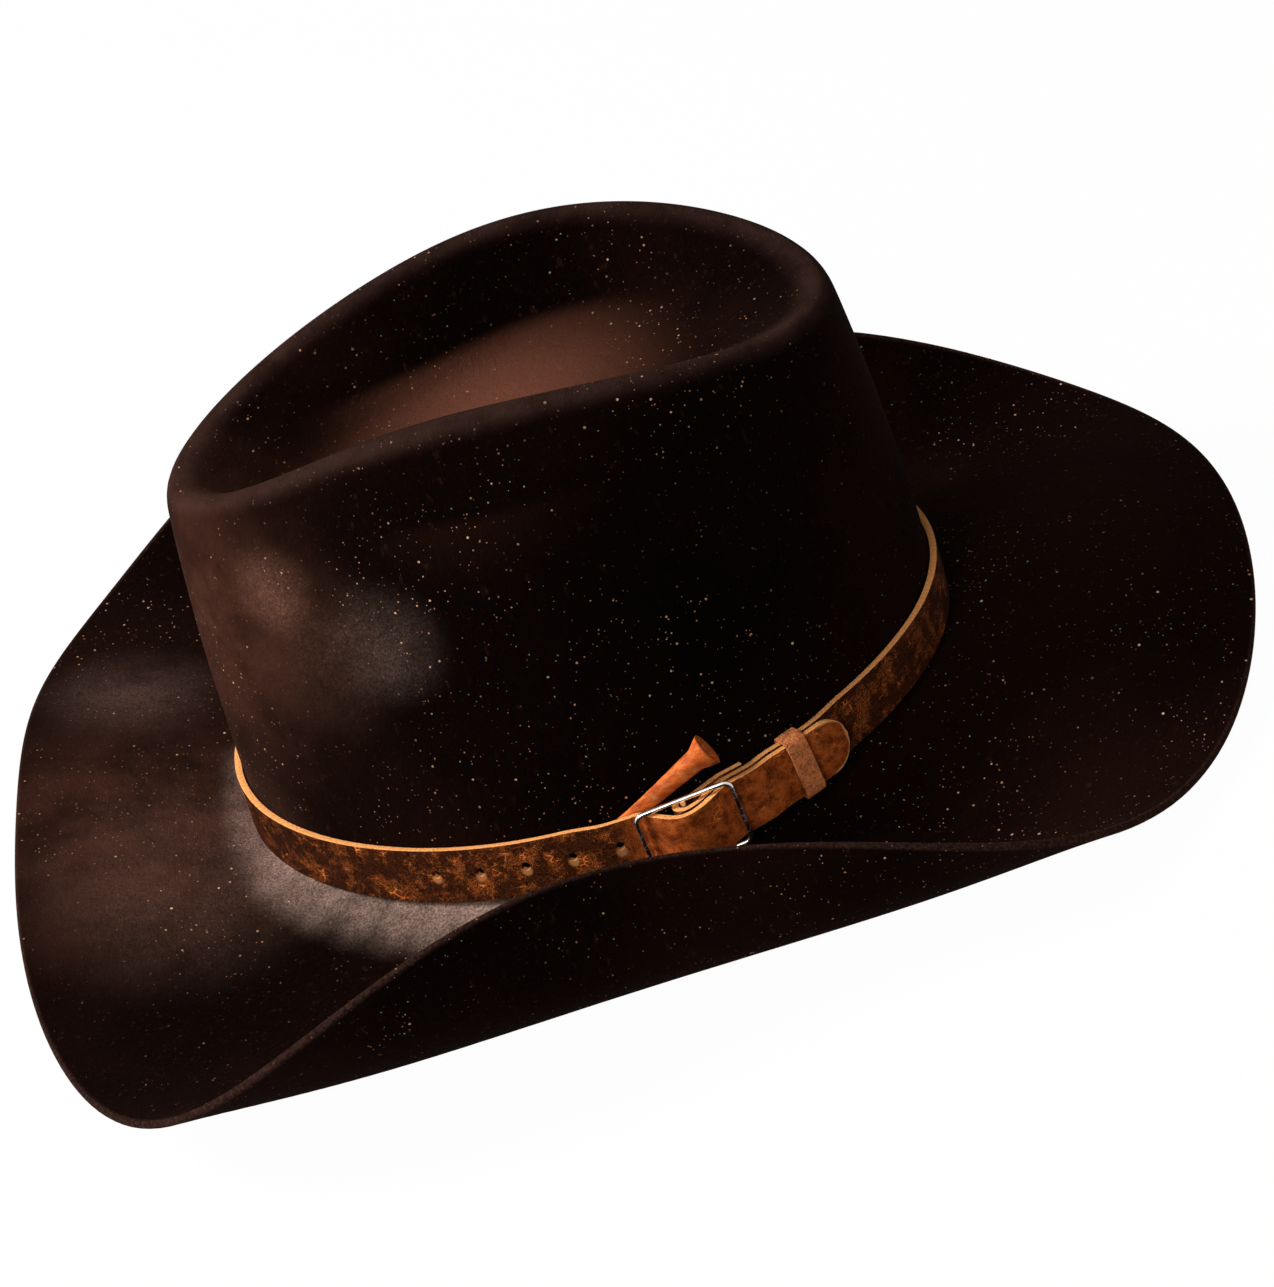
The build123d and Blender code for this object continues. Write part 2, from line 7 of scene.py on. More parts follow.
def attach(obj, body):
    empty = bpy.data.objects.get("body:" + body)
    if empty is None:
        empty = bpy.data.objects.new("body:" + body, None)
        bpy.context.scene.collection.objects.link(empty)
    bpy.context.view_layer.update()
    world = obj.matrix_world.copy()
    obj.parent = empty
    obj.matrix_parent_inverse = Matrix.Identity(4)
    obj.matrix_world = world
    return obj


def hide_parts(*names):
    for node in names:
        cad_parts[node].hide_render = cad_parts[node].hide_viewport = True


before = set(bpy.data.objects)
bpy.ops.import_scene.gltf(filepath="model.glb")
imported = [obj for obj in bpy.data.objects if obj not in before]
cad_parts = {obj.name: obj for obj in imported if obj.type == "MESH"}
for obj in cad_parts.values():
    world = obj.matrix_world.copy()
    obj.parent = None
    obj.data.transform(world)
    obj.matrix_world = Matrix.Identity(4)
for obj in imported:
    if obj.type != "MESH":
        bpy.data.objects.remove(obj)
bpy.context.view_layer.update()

MM = 0.001
for loaded in bpy.context.selected_objects:
    loaded.select_set(False)

# ---- the hat's own shape, in millimetres from the brim break ------------------------------------
FELT = 2.4
BASE_HALF_LENGTH = 107.0
BASE_HALF_WIDTH = 87.1
BASE_OVAL_POINT = 0.01
# Stations: back, back quarter, side, front quarter, front.
CREST_INSET = (4.7, 20.4, 40.5, 34.2, 19.2)
CREST_HEIGHT = (115.2, 129.1, 136.4, 127.4, 116.9)
CREST_WIDTH = 9.0
CREST_ROUND = 4.0
WALL_BULGE = 1.8
DISH_INSET = (42.0, 48.0, 65.0, 62.0, 50.0)
DISH_REACH = 6.0
DISH_HEIGHT = 105.5
DISH_RISE = 0.06
BRIM_WIDTH = (91.8, 94.8, 93.0, 109.2, 73.4)
BRIM_ROOT_SLOPE = (5.2, -31.1, -21.0, -9.0, 23.1)
BRIM_EDGE_SLOPE = (-20.0, 40.3, 131.8, 26.4, 13.5)
BRIM_ROLL_START = 0.09
BRIM_ROLL_SPAN = 0.98
BREAK_ROUND = 3.0

STRAP = 2.0
STRAP_WIDTH = 16.4
STRAP_FOOT = 2.1
STRAP_MIDDLE = STRAP_FOOT + STRAP_WIDTH / 2
STRAP_CLEAR = 0.6
LAYER_CLEAR = 0.6
BUCKLE_ANGLE = 283.0
BUCKLE_LENGTH = 28.4
WIRE_RADIUS = 0.75
BAR_RADIUS = 0.9
WIRE_CLEAR = 1.1
SIDE_CLEAR = 0.6
FOLD_CLEAR = 0.45
RETURN_LENGTH = 20.0
KEEPER_PLACE = 35.0
KEEPER_WIDTH = 6.5
KEEPER = 1.0
KEEPER_CLEAR = 0.45
KEEPER_TRAVEL = 2.5
TIP_PLACE = 51.0
TIP_RADIUS = 8.0
HOLE_RADIUS = 1.3
HOLE_PITCH = 14.0
HOLE_COUNT = 5
HOLE_FIRST = 20.4

PEG_PLACE = 11.5
PEG_OUT = 1.55
PEG_TUCK = 9.0
PEG_LENGTH = 35.0
PEG_CLEAR = 0.6
PEG_TAIL_WIDTH = 4.6
PEG_TAIL_DEPTH = 1.1
PEG_NECK_RADIUS = 3.3
PEG_HEAD_RADIUS = 5.2
PEG_HEAD_LENGTH = 4.5
PEG_LEAN = 66.0
PEG_TILT = 4.5


def around(angle, stations):
    """Smooth value at an angle, through values evenly spaced from the back to the front."""
    last = len(stations) - 1
    total = 0.0
    for wave in range(last + 1):
        share = 0.0
        for index, value in enumerate(stations):
            ends = 0.5 if index in (0, last) else 1.0
            share += ends * value * cos(wave * index * pi / last)
        ends = 0.5 if wave in (0, last) else 1.0
        total += ends * share * 2 / last * cos(wave * radians(angle))
    return total


def base_point(angle):
    turn = radians(angle)
    draw = 1 + BASE_OVAL_POINT * (cos(4 * turn) - 1)
    return Vector((BASE_HALF_LENGTH * cos(turn) * draw, BASE_HALF_WIDTH * sin(turn) * draw))


def base_normal(angle):
    along = (base_point(angle + 0.1) - base_point(angle - 0.1)).normalized()
    return Vector((along.y, -along.x))


def towards(start, end, distance):
    return start + (end - start).normalized() * distance


def brim_line(angle, count):
    """Points of the brim's upper face in its upright section, from the break to the edge."""
    root, edge = around(angle, BRIM_ROOT_SLOPE), around(angle, BRIM_EDGE_SLOPE)
    width = around(angle, BRIM_WIDTH)
    fine = max(1, round(240 / count))
    points = [Vector((0.0, 0.0))]
    place = Vector((0.0, 0.0))
    for step in range(count * fine):
        share = ((step + 0.5) / (count * fine) - BRIM_ROLL_START) / BRIM_ROLL_SPAN
        share = min(max(share, 0), 1)
        slope = radians(root + (edge - root) * share * share * (3 - 2 * share))
        place = place + Vector((cos(slope), sin(slope))) * (width / (count * fine))
        if (step + 1) % fine == 0:
            points.append(place)
    return points


def brim_reach():
    """Height of the brim break above the table, and where the head's centre stands along x."""
    lowest, near, far = 0.0, 0.0, 0.0
    for angle in range(0, 181, 3):
        line = brim_line(angle, 40)
        for before, after in zip(line, line[1:]):
            fall = (after - before).normalized()
            for depth in (0, FELT):
                reach = base_point(angle) + base_normal(angle) * (after.x + depth * fall.y)
                lowest = min(lowest, after.y - depth * fall.x)
                near, far = min(near, reach.x), max(far, reach.x)
    return -lowest, -(near + far) / 2


BREAK_Z, BREAK_X = brim_reach()


def wall_reach(angle, height):
    """Outer face of the crown's side, outward from the base oval, at a height above the break."""
    share = height / around(angle, CREST_HEIGHT)
    straight = (CREST_WIDTH / 2 - around(angle, CREST_INSET)) * share
    return straight + 4 * WALL_BULGE * share * (1 - share)


def wall_lean(angle, height):
    rise = wall_reach(angle, height + 1) - wall_reach(angle, height - 1)
    return atan2(-rise, 2)


def on_wall(angle, height, out):
    """Place in metres at a height above the break, this far outside the crown's outer face."""
    place = base_point(angle) + base_normal(angle) * (wall_reach(angle, height) + out)
    return Vector((place.x + BREAK_X, place.y, height + BREAK_Z)) * MM


def dish_floor(angle, inset):
    place = base_point(angle) - base_normal(angle) * inset
    return Vector((-inset, DISH_HEIGHT + DISH_RISE * place.x))


def curve(points, count):
    """Points along a Bezier curve of two or three control points, without its first point."""
    line = []
    for step in range(1, count + 1):
        share = step / count
        if len(points) == 2:
            line.append(points[0].lerp(points[1], share))
        else:
            first = points[0].lerp(points[1], share)
            line.append(first.lerp(points[1].lerp(points[2], share), share))
    return line


def felt_profile(angle):
    """The felt's outer face in its upright section, from the crease floor's edge to the brim."""
    inset, height = around(angle, CREST_INSET), around(angle, CREST_HEIGHT)
    floor_edge = dish_floor(angle, around(angle, DISH_INSET))
    foot = dish_floor(angle, around(angle, DISH_INSET) - DISH_REACH)
    crest_in = Vector((-inset - CREST_WIDTH / 2, height))
    crest_out = Vector((-inset + CREST_WIDTH / 2, height))
    base = Vector((0.0, 0.0))
    side = (crest_out - base).normalized()
    swell = (crest_out + base) / 2 + Vector((side.y, -side.x)) * 2 * WALL_BULGE
    brim = brim_line(angle, 48)
    root = towards(base, brim[8], BREAK_ROUND)
    corners = [
        floor_edge,
        towards(foot, floor_edge, DISH_REACH * 0.6),
        foot,
        towards(foot, crest_in, DISH_REACH),
        towards(crest_in, foot, CREST_ROUND * 1.5),
        crest_in,
        towards(crest_in, crest_out, CREST_ROUND),
        towards(crest_out, crest_in, CREST_ROUND),
        crest_out,
        towards(crest_out, swell, CREST_ROUND * 2),
        swell,
        towards(base, swell, BREAK_ROUND),
        base,
        root,
    ]
    line = [floor_edge]
    for first, last, count in FELT_SPANS:
        line += curve(corners[first:last + 1], count)
    return line + [point for point in brim if point.x > root.x * 1.4]


# First and last control point of each stretch of the profile, and its number of steps.
FELT_SPANS = (
    (0, 1, 2), (1, 3, 5), (3, 4, 13), (4, 6, 6), (6, 7, 1), (7, 9, 7), (9, 11, 42), (11, 13, 5),
)


# ---- making pieces ------------------------------------------------------------------------------
def only(piece):
    for other in bpy.context.selected_objects:
        other.select_set(False)
    piece.select_set(True)
    bpy.context.view_layer.objects.active = piece


def wrapped(name, columns, rows, place, merge=True):
    """A sheet of columns by rows, laid where place(u, v) says, with its own flat UV map."""
    bpy.ops.mesh.primitive_grid_add(x_subdivisions=columns, y_subdivisions=rows, size=1)
    piece = bpy.context.active_object
    piece.name = name
    piece.data.name = name
    for vertex in piece.data.vertices:
        vertex.co = place(vertex.co.x + 0.5, vertex.co.y + 0.5)
    only(piece)
    bpy.ops.object.mode_set(mode="EDIT")
    bpy.ops.mesh.select_all(action="SELECT")
    if merge:
        bpy.ops.mesh.remove_doubles(threshold=0.02 * MM)
    bpy.ops.mesh.normals_make_consistent(inside=False)
    bpy.ops.object.mode_set(mode="OBJECT")
    bpy.ops.object.shade_smooth()
    return piece


def apply(piece, kind, **settings):
    """Adds a modifier with its settings and applies it."""
    only(piece)
    added = piece.modifiers.new(kind.title(), kind)
    for key, value in settings.items():
        setattr(added, key, value)
    bpy.ops.object.modifier_apply(modifier=added.name)


def walled(piece, thickness, offset, edge=0.0, steps=2):
    """Gives a sheet its thickness and softens its edges."""
    apply(piece, "SOLIDIFY", thickness=thickness * MM, offset=offset, use_even_offset=True)
    if edge:
        apply(piece, "BEVEL", width=edge * MM, segments=steps, limit_method="ANGLE",
              angle_limit=radians(50), use_clamp_overlap=True)
    only(piece)
    bpy.ops.object.shade_smooth_by_angle(angle=radians(40))


def turned_over(piece):
    """Turns an open sheet's faces to its other side, so that its wall grows inwards."""
    only(piece)
    bpy.ops.object.mode_set(mode="EDIT")
    bpy.ops.mesh.select_all(action="SELECT")
    bpy.ops.mesh.normals_make_consistent(inside=True)
    bpy.ops.object.mode_set(mode="OBJECT")


def finished(piece, body, slot, nodes, *materials):
    """Puts the materials on, says what body a piece rides on, and hides the parts it stands for."""
    piece.data.materials.clear()
    for material in materials:
        piece.data.materials.append(material)
    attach(piece, body)
    if nodes:
        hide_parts(*nodes)


# ---- materials ----------------------------------------------------------------------------------
class Finish:
    """A material being mixed: its surface shader and short words for the nodes that feed it."""

    def __init__(self, name, coords="Object"):
        self.material = bpy.data.materials.new(name)
        self.material.use_nodes = True
        self.nodes, self.links = self.material.node_tree.nodes, self.material.node_tree.links
        self.surface = self.nodes["Principled BSDF"]
        self.where = self.nodes.new("ShaderNodeTexCoord").outputs[coords]

    def set(self, **values):
        for key, value in values.items():
            self.surface.inputs[key.replace("_", " ")].default_value = value

    def feed(self, socket, value):
        if isinstance(value, bpy.types.NodeSocket):
            self.links.new(value, socket)
        else:
            socket.default_value = value

    def scaled(self, scale, where=None):
        node = self.nodes.new("ShaderNodeMapping")
        self.links.new(where or self.where, node.inputs["Vector"])
        node.inputs["Scale"].default_value = scale
        return node.outputs[0]

    def noise(self, scale, detail=3.0, rough=0.55, where=None, warp=0.0):
        node = self.nodes.new("ShaderNodeTexNoise")
        self.links.new(where or self.where, node.inputs["Vector"])
        node.inputs["Scale"].default_value = scale
        node.inputs["Detail"].default_value = detail
        node.inputs["Roughness"].default_value = rough
        node.inputs["Distortion"].default_value = warp
        return node.outputs[0]

    def cells(self, scale, feature="F1", output="Distance", where=None, random=1.0):
        node = self.nodes.new("ShaderNodeTexVoronoi")
        node.feature = feature
        self.links.new(where or self.where, node.inputs["Vector"])
        node.inputs["Scale"].default_value = scale
        node.inputs["Randomness"].default_value = random
        if output == "Color":
            parts = self.nodes.new("ShaderNodeSeparateColor")
            self.links.new(node.outputs["Color"], parts.inputs[0])
            return parts.outputs[0]
        return node.outputs[output]

    def ramp(self, value, low, high, start=0.0, end=1.0):
        node = self.nodes.new("ShaderNodeMapRange")
        node.interpolation_type = "SMOOTHSTEP"
        self.feed(node.inputs["Value"], value)
        node.inputs["From Min"].default_value = low
        node.inputs["From Max"].default_value = high
        node.inputs["To Min"].default_value = start
        node.inputs["To Max"].default_value = end
        return node.outputs[0]

    def math(self, kind, first, second=0.0):
        node = self.nodes.new("ShaderNodeMath")
        node.operation = kind
        self.feed(node.inputs[0], first)
        self.feed(node.inputs[1], second)
        return node.outputs[0]

    def times(self, first, second):
        return self.math("MULTIPLY", first, second)

    def mix(self, share, first, second):
        node = self.nodes.new("ShaderNodeMix")
        node.data_type = "RGBA"
        self.feed(node.inputs[0], share)
        for socket, value in ((node.inputs[6], first), (node.inputs[7], second)):
            self.feed(socket, value if isinstance(value, bpy.types.NodeSocket) else (*value, 1.0))
        return node.outputs[2]

    def along(self, part, coords="UV"):
        """One part of the piece's own flat map: 0 is its x, 1 its y."""
        source = self.nodes.new("ShaderNodeTexCoord").outputs[coords]
        parts = self.nodes.new("ShaderNodeSeparateXYZ")
        self.links.new(source, parts.inputs[0])
        return parts.outputs[part]

    def near(self, place, radius, soft=1.0):
        """1 at a place, in metres, fading to 0 at a radius."""
        node = self.nodes.new("ShaderNodeVectorMath")
        node.operation = "DISTANCE"
        self.links.new(self.where, node.inputs[0])
        node.inputs[1].default_value = place
        return self.ramp(node.outputs["Value"], radius * (1 - soft), radius, 1.0, 0.0)

    def bump(self, height, distance, strength=1.0, after=None):
        node = self.nodes.new("ShaderNodeBump")
        self.feed(node.inputs["Height"], height)
        node.inputs["Strength"].default_value = strength
        node.inputs["Distance"].default_value = distance
        if after is not None:
            self.links.new(after, node.inputs["Normal"])
        return node.outputs[0]

    def done(self, colour, rough, normal=None):
        self.feed(self.surface.inputs["Base Color"], colour)
        self.feed(self.surface.inputs["Roughness"], rough)
        if normal is not None:
            self.links.new(normal, self.surface.inputs["Normal"])
        return self.material


# Colours of the felt, from its darkest, which is painted shade, to its dust; some of them are painted
# light.
NAP_PAINTED_SHADE = (0.0008, 0.0003, 0.0002)
NAP_DARK = (0.0014, 0.0004, 0.0003)
NAP_BROWN = (0.0062, 0.0018, 0.0011)
NAP_GRAIN = (0.034, 0.0115, 0.0070)
NAP_LINT = (0.050, 0.020, 0.013)
NAP_EDGE = (0.055, 0.026, 0.019)
NAP_LIT_AND_DUSTY = (0.056, 0.0205, 0.0130)
NAP_CREST_DUST_AND_HIGHLIGHT = (0.060, 0.029, 0.022)
NAP_CREASE_TONE_AND_LIGHT = (0.115, 0.040, 0.023)
NAP_DUST = (0.42, 0.27, 0.215)
# Places on the felt, in metres, each with the radius at which it ends.
# Painted light with some dust: the front of the crown and of the brim, where the key lamp falls, is
# painted lighter brown.
LIT_DUSTY_CROWN = ((-0.105, -0.020, 0.105), 0.070)
LIT_DUSTY_BRIM = ((-0.150, -0.010, 0.030), 0.080)
# Partly painted light: the crease floor, which faces up and towards the key lamp, is painted lighter
# reddish brown. Partly it is the felt's own tone there.
CREASE_FLOOR_LIT = ((-0.005, -0.004, 0.1265), 0.066)
# Painted shade: the crown's side towards the camera and its back are painted near black.
PAINTED_SHADE_SIDE = ((0.035, -0.075, 0.085), 0.090)
PAINTED_SHADE_BACK = ((0.105, 0.045, 0.070), 0.055)
# Dust in the corner where the band meets the brim: angles round the head, distance off, radius.
CORNER_ANGLES = range(170, 256, 7)
CORNER_OUT, CORNER_RADIUS = 3.0, 0.019


def felt_finish():
    f = Finish("felt_nap")
    f.set(Sheen_Weight=0.02, Sheen_Roughness=0.5, Sheen_Tint=(0.60, 0.26, 0.18, 1.0))
    f.set(Specular_IOR_Level=0.01)
    height = f.along(2, "Object")
    row = f.along(1)
    upper = f.ramp(f.along(2, "Normal"), -0.15, 0.10)
    grainy = f.noise(1100, 3, 0.7)
    colour = f.mix(f.ramp(f.noise(11, 4, 0.6), 0.38, 0.70), NAP_DARK, NAP_BROWN)
    # Painted light with some dust on the lit front of crown and brim.
    lit_and_dusty = f.math("MAXIMUM", f.near(*LIT_DUSTY_CROWN), f.near(*LIT_DUSTY_BRIM))
    colour = f.mix(f.times(lit_and_dusty, f.ramp(f.noise(45, 4, 0.7), 0.3, 0.7, 0.3, 0.9)), colour, NAP_LIT_AND_DUSTY)
    # Painted light on the crease floor, partly its own reddish tone, fading out above the floor so that
    # the far wall stays dark.
    floor = f.times(f.near(*CREASE_FLOOR_LIT), f.ramp(height, 0.1290, 0.1340, 1.0, 0.0))
    colour = f.mix(f.times(floor, 0.95), colour, NAP_CREASE_TONE_AND_LIGHT)
    colour = f.mix(f.ramp(grainy, 0.5, 0.8, 0.0, 0.16), colour, NAP_GRAIN)
    lint = f.ramp(f.noise(420, 2, 0.6, f.scaled((1.0, 1.0, 0.35))), 0.62, 0.80, 0.0, 0.25)
    colour = f.mix(lint, colour, NAP_LINT)
    # Painted highlight along the crest, which also stands for dust settled on it.
    inner_foot, inner_top, outer_top, outer_foot = CREST_ROWS
    crest_dust_and_highlight = f.times(f.ramp(row, inner_foot, inner_top), f.ramp(row, outer_top, outer_foot, 1.0, 0.0))
    crest_dust_and_highlight = f.times(crest_dust_and_highlight, f.ramp(f.noise(60, 4, 0.7), 0.25, 0.65, 0.35, 1.0))
    colour = f.mix(f.times(crest_dust_and_highlight, 0.4), colour, NAP_CREST_DUST_AND_HIGHLIGHT)
    # Painted shade: the mask deep darkens the crown's side and back to near black.
    deep = f.math("MAXIMUM", f.near(*PAINTED_SHADE_SIDE), f.near(*PAINTED_SHADE_BACK))
    colour = f.mix(f.times(deep, 0.9), colour, NAP_PAINTED_SHADE)
    grain = f.ramp(f.noise(1300, 4, 0.85), 0.34, 0.68, 0.25, 1.0)
    blotches = f.ramp(f.noise(40, 5, 0.75), 0.25, 0.70, 0.25, 1.0)
    for place, radius, amount, shade in DUSTY_PLACES:
        patch = f.times(f.times(f.times(f.near(place, radius), blotches), grain), upper)
        colour = f.mix(f.times(patch, amount), colour, shade)
    settled = None
    for angle in CORNER_ANGLES:
        spot = f.near(on_wall(angle, 0.0, CORNER_OUT), CORNER_RADIUS)
        settled = spot if settled is None else f.math("MAXIMUM", settled, spot)
    settled = f.times(f.times(settled, blotches), f.ramp(height, 0.022, 0.027, 1.0, 0.0))
    colour = f.mix(f.times(f.times(settled, upper), grain), colour, NAP_DUST)
    dusty = f.ramp(f.noise(16, 4, 0.7), 0.44, 0.62, 0.10, 1.0)
    dusty = f.math("MAXIMUM", dusty, f.near(SPECKLED_PLACE, 0.075))
    for scale, size, share, shade in SPECKS:
        speck = f.ramp(f.cells(scale), size * 0.5, size, 1.0, 0.0)
        picked = f.math("GREATER_THAN", f.cells(scale, output="Color"), share)
        colour = f.mix(f.times(f.times(speck, picked), dusty), colour, shade)
    edge = f.times(f.ramp(row, 0.994, 0.999), f.ramp(grainy, 0.35, 0.7, 0.15, 0.6))
    colour = f.mix(edge, colour, NAP_EDGE)
    normal = f.bump(f.noise(2600, 2, 0.8), 0.0004, 1.0)
    normal = f.bump(f.noise(300, 4, 0.75), 0.0010, 0.7, normal)
    return f.done(colour, f.ramp(grainy, 0.3, 0.7, 0.88, 1.0), normal)


# Where pale dust has settled on the felt: place, radius, strength and colour.
DUSTY_PLACES = (
    ((-0.0514, -0.0581, 0.1006), 0.023, 0.42, (0.22, 0.135, 0.105)),
    ((-0.0700, -0.0480, 0.1000), 0.034, 0.28, (0.15, 0.070, 0.045)),
    ((-0.0783, -0.0399, 0.1177), 0.017, 0.65, (0.26, 0.120, 0.075)),
    ((-0.1557, 0.0647, 0.0302), 0.036, 0.50, (0.19, 0.108, 0.084)),
    ((-0.1400, -0.0380, 0.0290), 0.055, 0.50, (0.15, 0.078, 0.056)),
)
SPECKLED_PLACE = (-0.005, -0.080, 0.050)
# Specks of dust: cells in a metre, size in its cell, share of cells without one, colour.
SPECKS = (
    (250, 0.110, 0.52, (0.62, 0.33, 0.18)),
    (430, 0.130, 0.50, (0.42, 0.21, 0.12)),
    (700, 0.150, 0.60, (0.30, 0.15, 0.09)),
    (120, 0.065, 0.70, (0.85, 0.52, 0.30)),
)


# Colours of the strap: its dark run, its worn end, and the marks on both; the tan round its holes is a
# painted highlight.
HIDE_BLACK, HIDE_BROWN = (0.003, 0.0007, 0.0004), (0.020, 0.0036, 0.0012)
WORN_BROWN, WORN_TAN = (0.095, 0.0130, 0.0022), (0.440, 0.0900, 0.0150)
CRACK_ORANGE = (0.90, 0.22, 0.038)
FIBRE_TAN = (0.86, 0.30, 0.075)
RUBBED_TAN = (0.84, 0.36, 0.115)
HOLE_RIM_HIGHLIGHT = (0.62, 0.25, 0.09)
SPLICE_TAN = (0.66, 0.33, 0.14)


def strap_finish():
    """Crackled leather. The strap's own map is in centimetres along and across it."""
    f = Finish("crackled_leather", "UV")
    f.set(Specular_IOR_Level=0.04)
    run = f.along(0)
    billet = f.ramp(run, BILLET_START - 0.8, BILLET_START + 0.3)
    patches = f.ramp(f.noise(1.4, 5, 0.7), 0.46, 0.60, 0.16, 1.0)
    dark = f.mix(f.noise(3.0, 4), HIDE_BLACK, HIDE_BROWN)
    worn = f.mix(f.ramp(f.noise(2.4, 4, 0.7), 0.35, 0.7), WORN_BROWN, WORN_TAN)
    colour = f.mix(billet, dark, worn)
    wavy = f.math("ABSOLUTE", f.math("SUBTRACT", f.noise(4.6, 7, 0.80, warp=2.4), 0.5))
    fine = f.math("ABSOLUTE", f.math("SUBTRACT", f.noise(11, 5, 0.75, warp=1.2), 0.5))
    veins = f.math("MAXIMUM", f.ramp(wavy, 0.002, 0.013, 1.0, 0.0), f.ramp(fine, 0.001, 0.010, 0.8, 0.0))
    cracks = f.cells(3.4, "DISTANCE_TO_EDGE", where=f.scaled((0.8, 1.3, 1.0)))
    cracks = f.ramp(cracks, 0.0, 0.05, 1.0, 0.0)
    lines = f.math("MAXIMUM", veins, f.times(cracks, f.ramp(f.noise(1.7, 3), 0.50, 0.62)))
    colour = f.mix(f.times(lines, patches), colour, CRACK_ORANGE)
    fibres = f.ramp(f.noise(34, 3, 0.75, f.scaled((0.6, 1.2, 1.0)), 1.0), 0.61, 0.70, 0.0, 0.85)
    fibres = f.times(fibres, f.math("MAXIMUM", patches, billet))
    colour = f.mix(fibres, colour, FIBRE_TAN)
    half_width = STRAP_WIDTH / 20
    across = f.math("ABSOLUTE", f.math("SUBTRACT", f.along(1), half_width))
    rubbed = f.ramp(across, half_width - 0.10, half_width - 0.02)
    rubbed = f.times(rubbed, f.ramp(run, TIP_RUN - 1.0, TIP_RUN - 0.6))
    rubbed = f.math("MAXIMUM", rubbed, f.ramp(run, TIP_RUN - 0.14, TIP_RUN - 0.04))
    colour = f.mix(rubbed, colour, RUBBED_TAN)
    # Painted highlight: the lower rim of each punched hole is lightened tan.
    for place in HOLE_RUNS:
        rim_highlight = f.times(f.near((place, half_width - 0.05, 0.0), 0.20, 0.5), 0.55)
        colour = f.mix(rim_highlight, colour, HOLE_RIM_HIGHLIGHT)
    splice = f.ramp(f.math("ABSOLUTE", f.math("SUBTRACT", run, SPLICE_RUN)), 0.025, 0.06, 1.0, 0.0)
    splice = f.times(splice, f.ramp(f.along(1), 0.50, 0.60))
    colour = f.mix(splice, colour, SPLICE_TAN)
    normal = f.bump(f.math("SUBTRACT", 1.0, lines), 0.0004, 0.6)
    normal = f.bump(f.noise(9, 5, 0.7), 0.0006, 0.5, normal)
    return f.done(colour, 0.7, normal)


def raw_edge_finish():
    f = Finish("raw_leather_edge")
    f.set(Specular_IOR_Level=0.04)
    fibre = f.noise(1500, 3, 0.7)
    colour = f.mix(f.ramp(fibre, 0.25, 0.65), (0.44, 0.135, 0.030), (0.84, 0.37, 0.125))
    return f.done(colour, 0.85, f.bump(fibre, 0.0003, 0.8))


def metal_finish():
    f = Finish("nickel_wire_polish")
    f.set(Metallic=1.0)
    scuffs = f.noise(700, 4, 0.7)
    colour = f.mix(f.ramp(f.noise(160, 3), 0.45, 0.75), (0.82, 0.80, 0.75), (0.55, 0.49, 0.42))
    return f.done(colour, f.ramp(scuffs, 0.35, 0.75, 0.14, 0.34), f.bump(scuffs, 0.00005, 0.6))


def suede_finish():
    f = Finish("fuzzy_suede")
    f.set(Sheen_Weight=0.08, Sheen_Roughness=0.5, Sheen_Tint=(1.0, 0.6, 0.4, 1.0))
    f.set(Specular_IOR_Level=0.04)
    fuzz = f.noise(1500, 4, 0.85)
    colour = f.mix(f.ramp(f.noise(420, 3), 0.35, 0.65), (0.42, 0.070, 0.014), (0.88, 0.24, 0.062))
    colour = f.mix(f.ramp(fuzz, 0.42, 0.62, 0.0, 0.8), colour, (0.96, 0.40, 0.165))
    return f.done(colour, 0.95, f.bump(fuzz, 0.0012, 1.0))


def peg_finish():
    f = Finish("rusty_peg")
    f.set(Specular_IOR_Level=0.1)
    grain = f.noise(700, 4, 0.7, f.scaled((0.25, 1.0, 0.6)))
    colour = f.mix(f.ramp(grain, 0.35, 0.7), (0.34, 0.055, 0.009), (0.70, 0.165, 0.030))
    colour = f.mix(f.ramp(f.noise(500, 3), 0.55, 0.75, 0.0, 0.6), colour, (0.52, 0.22, 0.08))
    return f.done(colour, 0.6, f.bump(grain, 0.0003, 0.7))


def inner_leather_finish():
    f = Finish("sweatband_grain")
    f.set(Specular_IOR_Level=0.35)
    pores = f.cells(900)
    worn = f.noise(40, 4, 0.6)
    colour = f.mix(f.ramp(worn, 0.35, 0.7), (0.10, 0.042, 0.020), (0.19, 0.090, 0.046))
    return f.done(colour, f.ramp(worn, 0.3, 0.7, 0.45, 0.62), f.bump(pores, 0.0002, 0.5))


def cloth_finish(name, dark, light, scale, rough=0.9, sheen=0.2):
    """Woven cloth or thread: crossed fine waves over a slow change of colour."""
    f = Finish(name)
    f.set(Sheen_Weight=sheen, Specular_IOR_Level=0.2)
    weave = f.cells(scale, random=0.25)
    colour = f.mix(f.ramp(f.noise(60, 3), 0.35, 0.7), dark, light)
    colour = f.mix(f.ramp(weave, 0.2, 0.7, 0.0, 0.5), colour, tuple(part * 0.45 for part in dark))
    return f.done(colour, rough, f.bump(weave, 0.0002, 0.7))


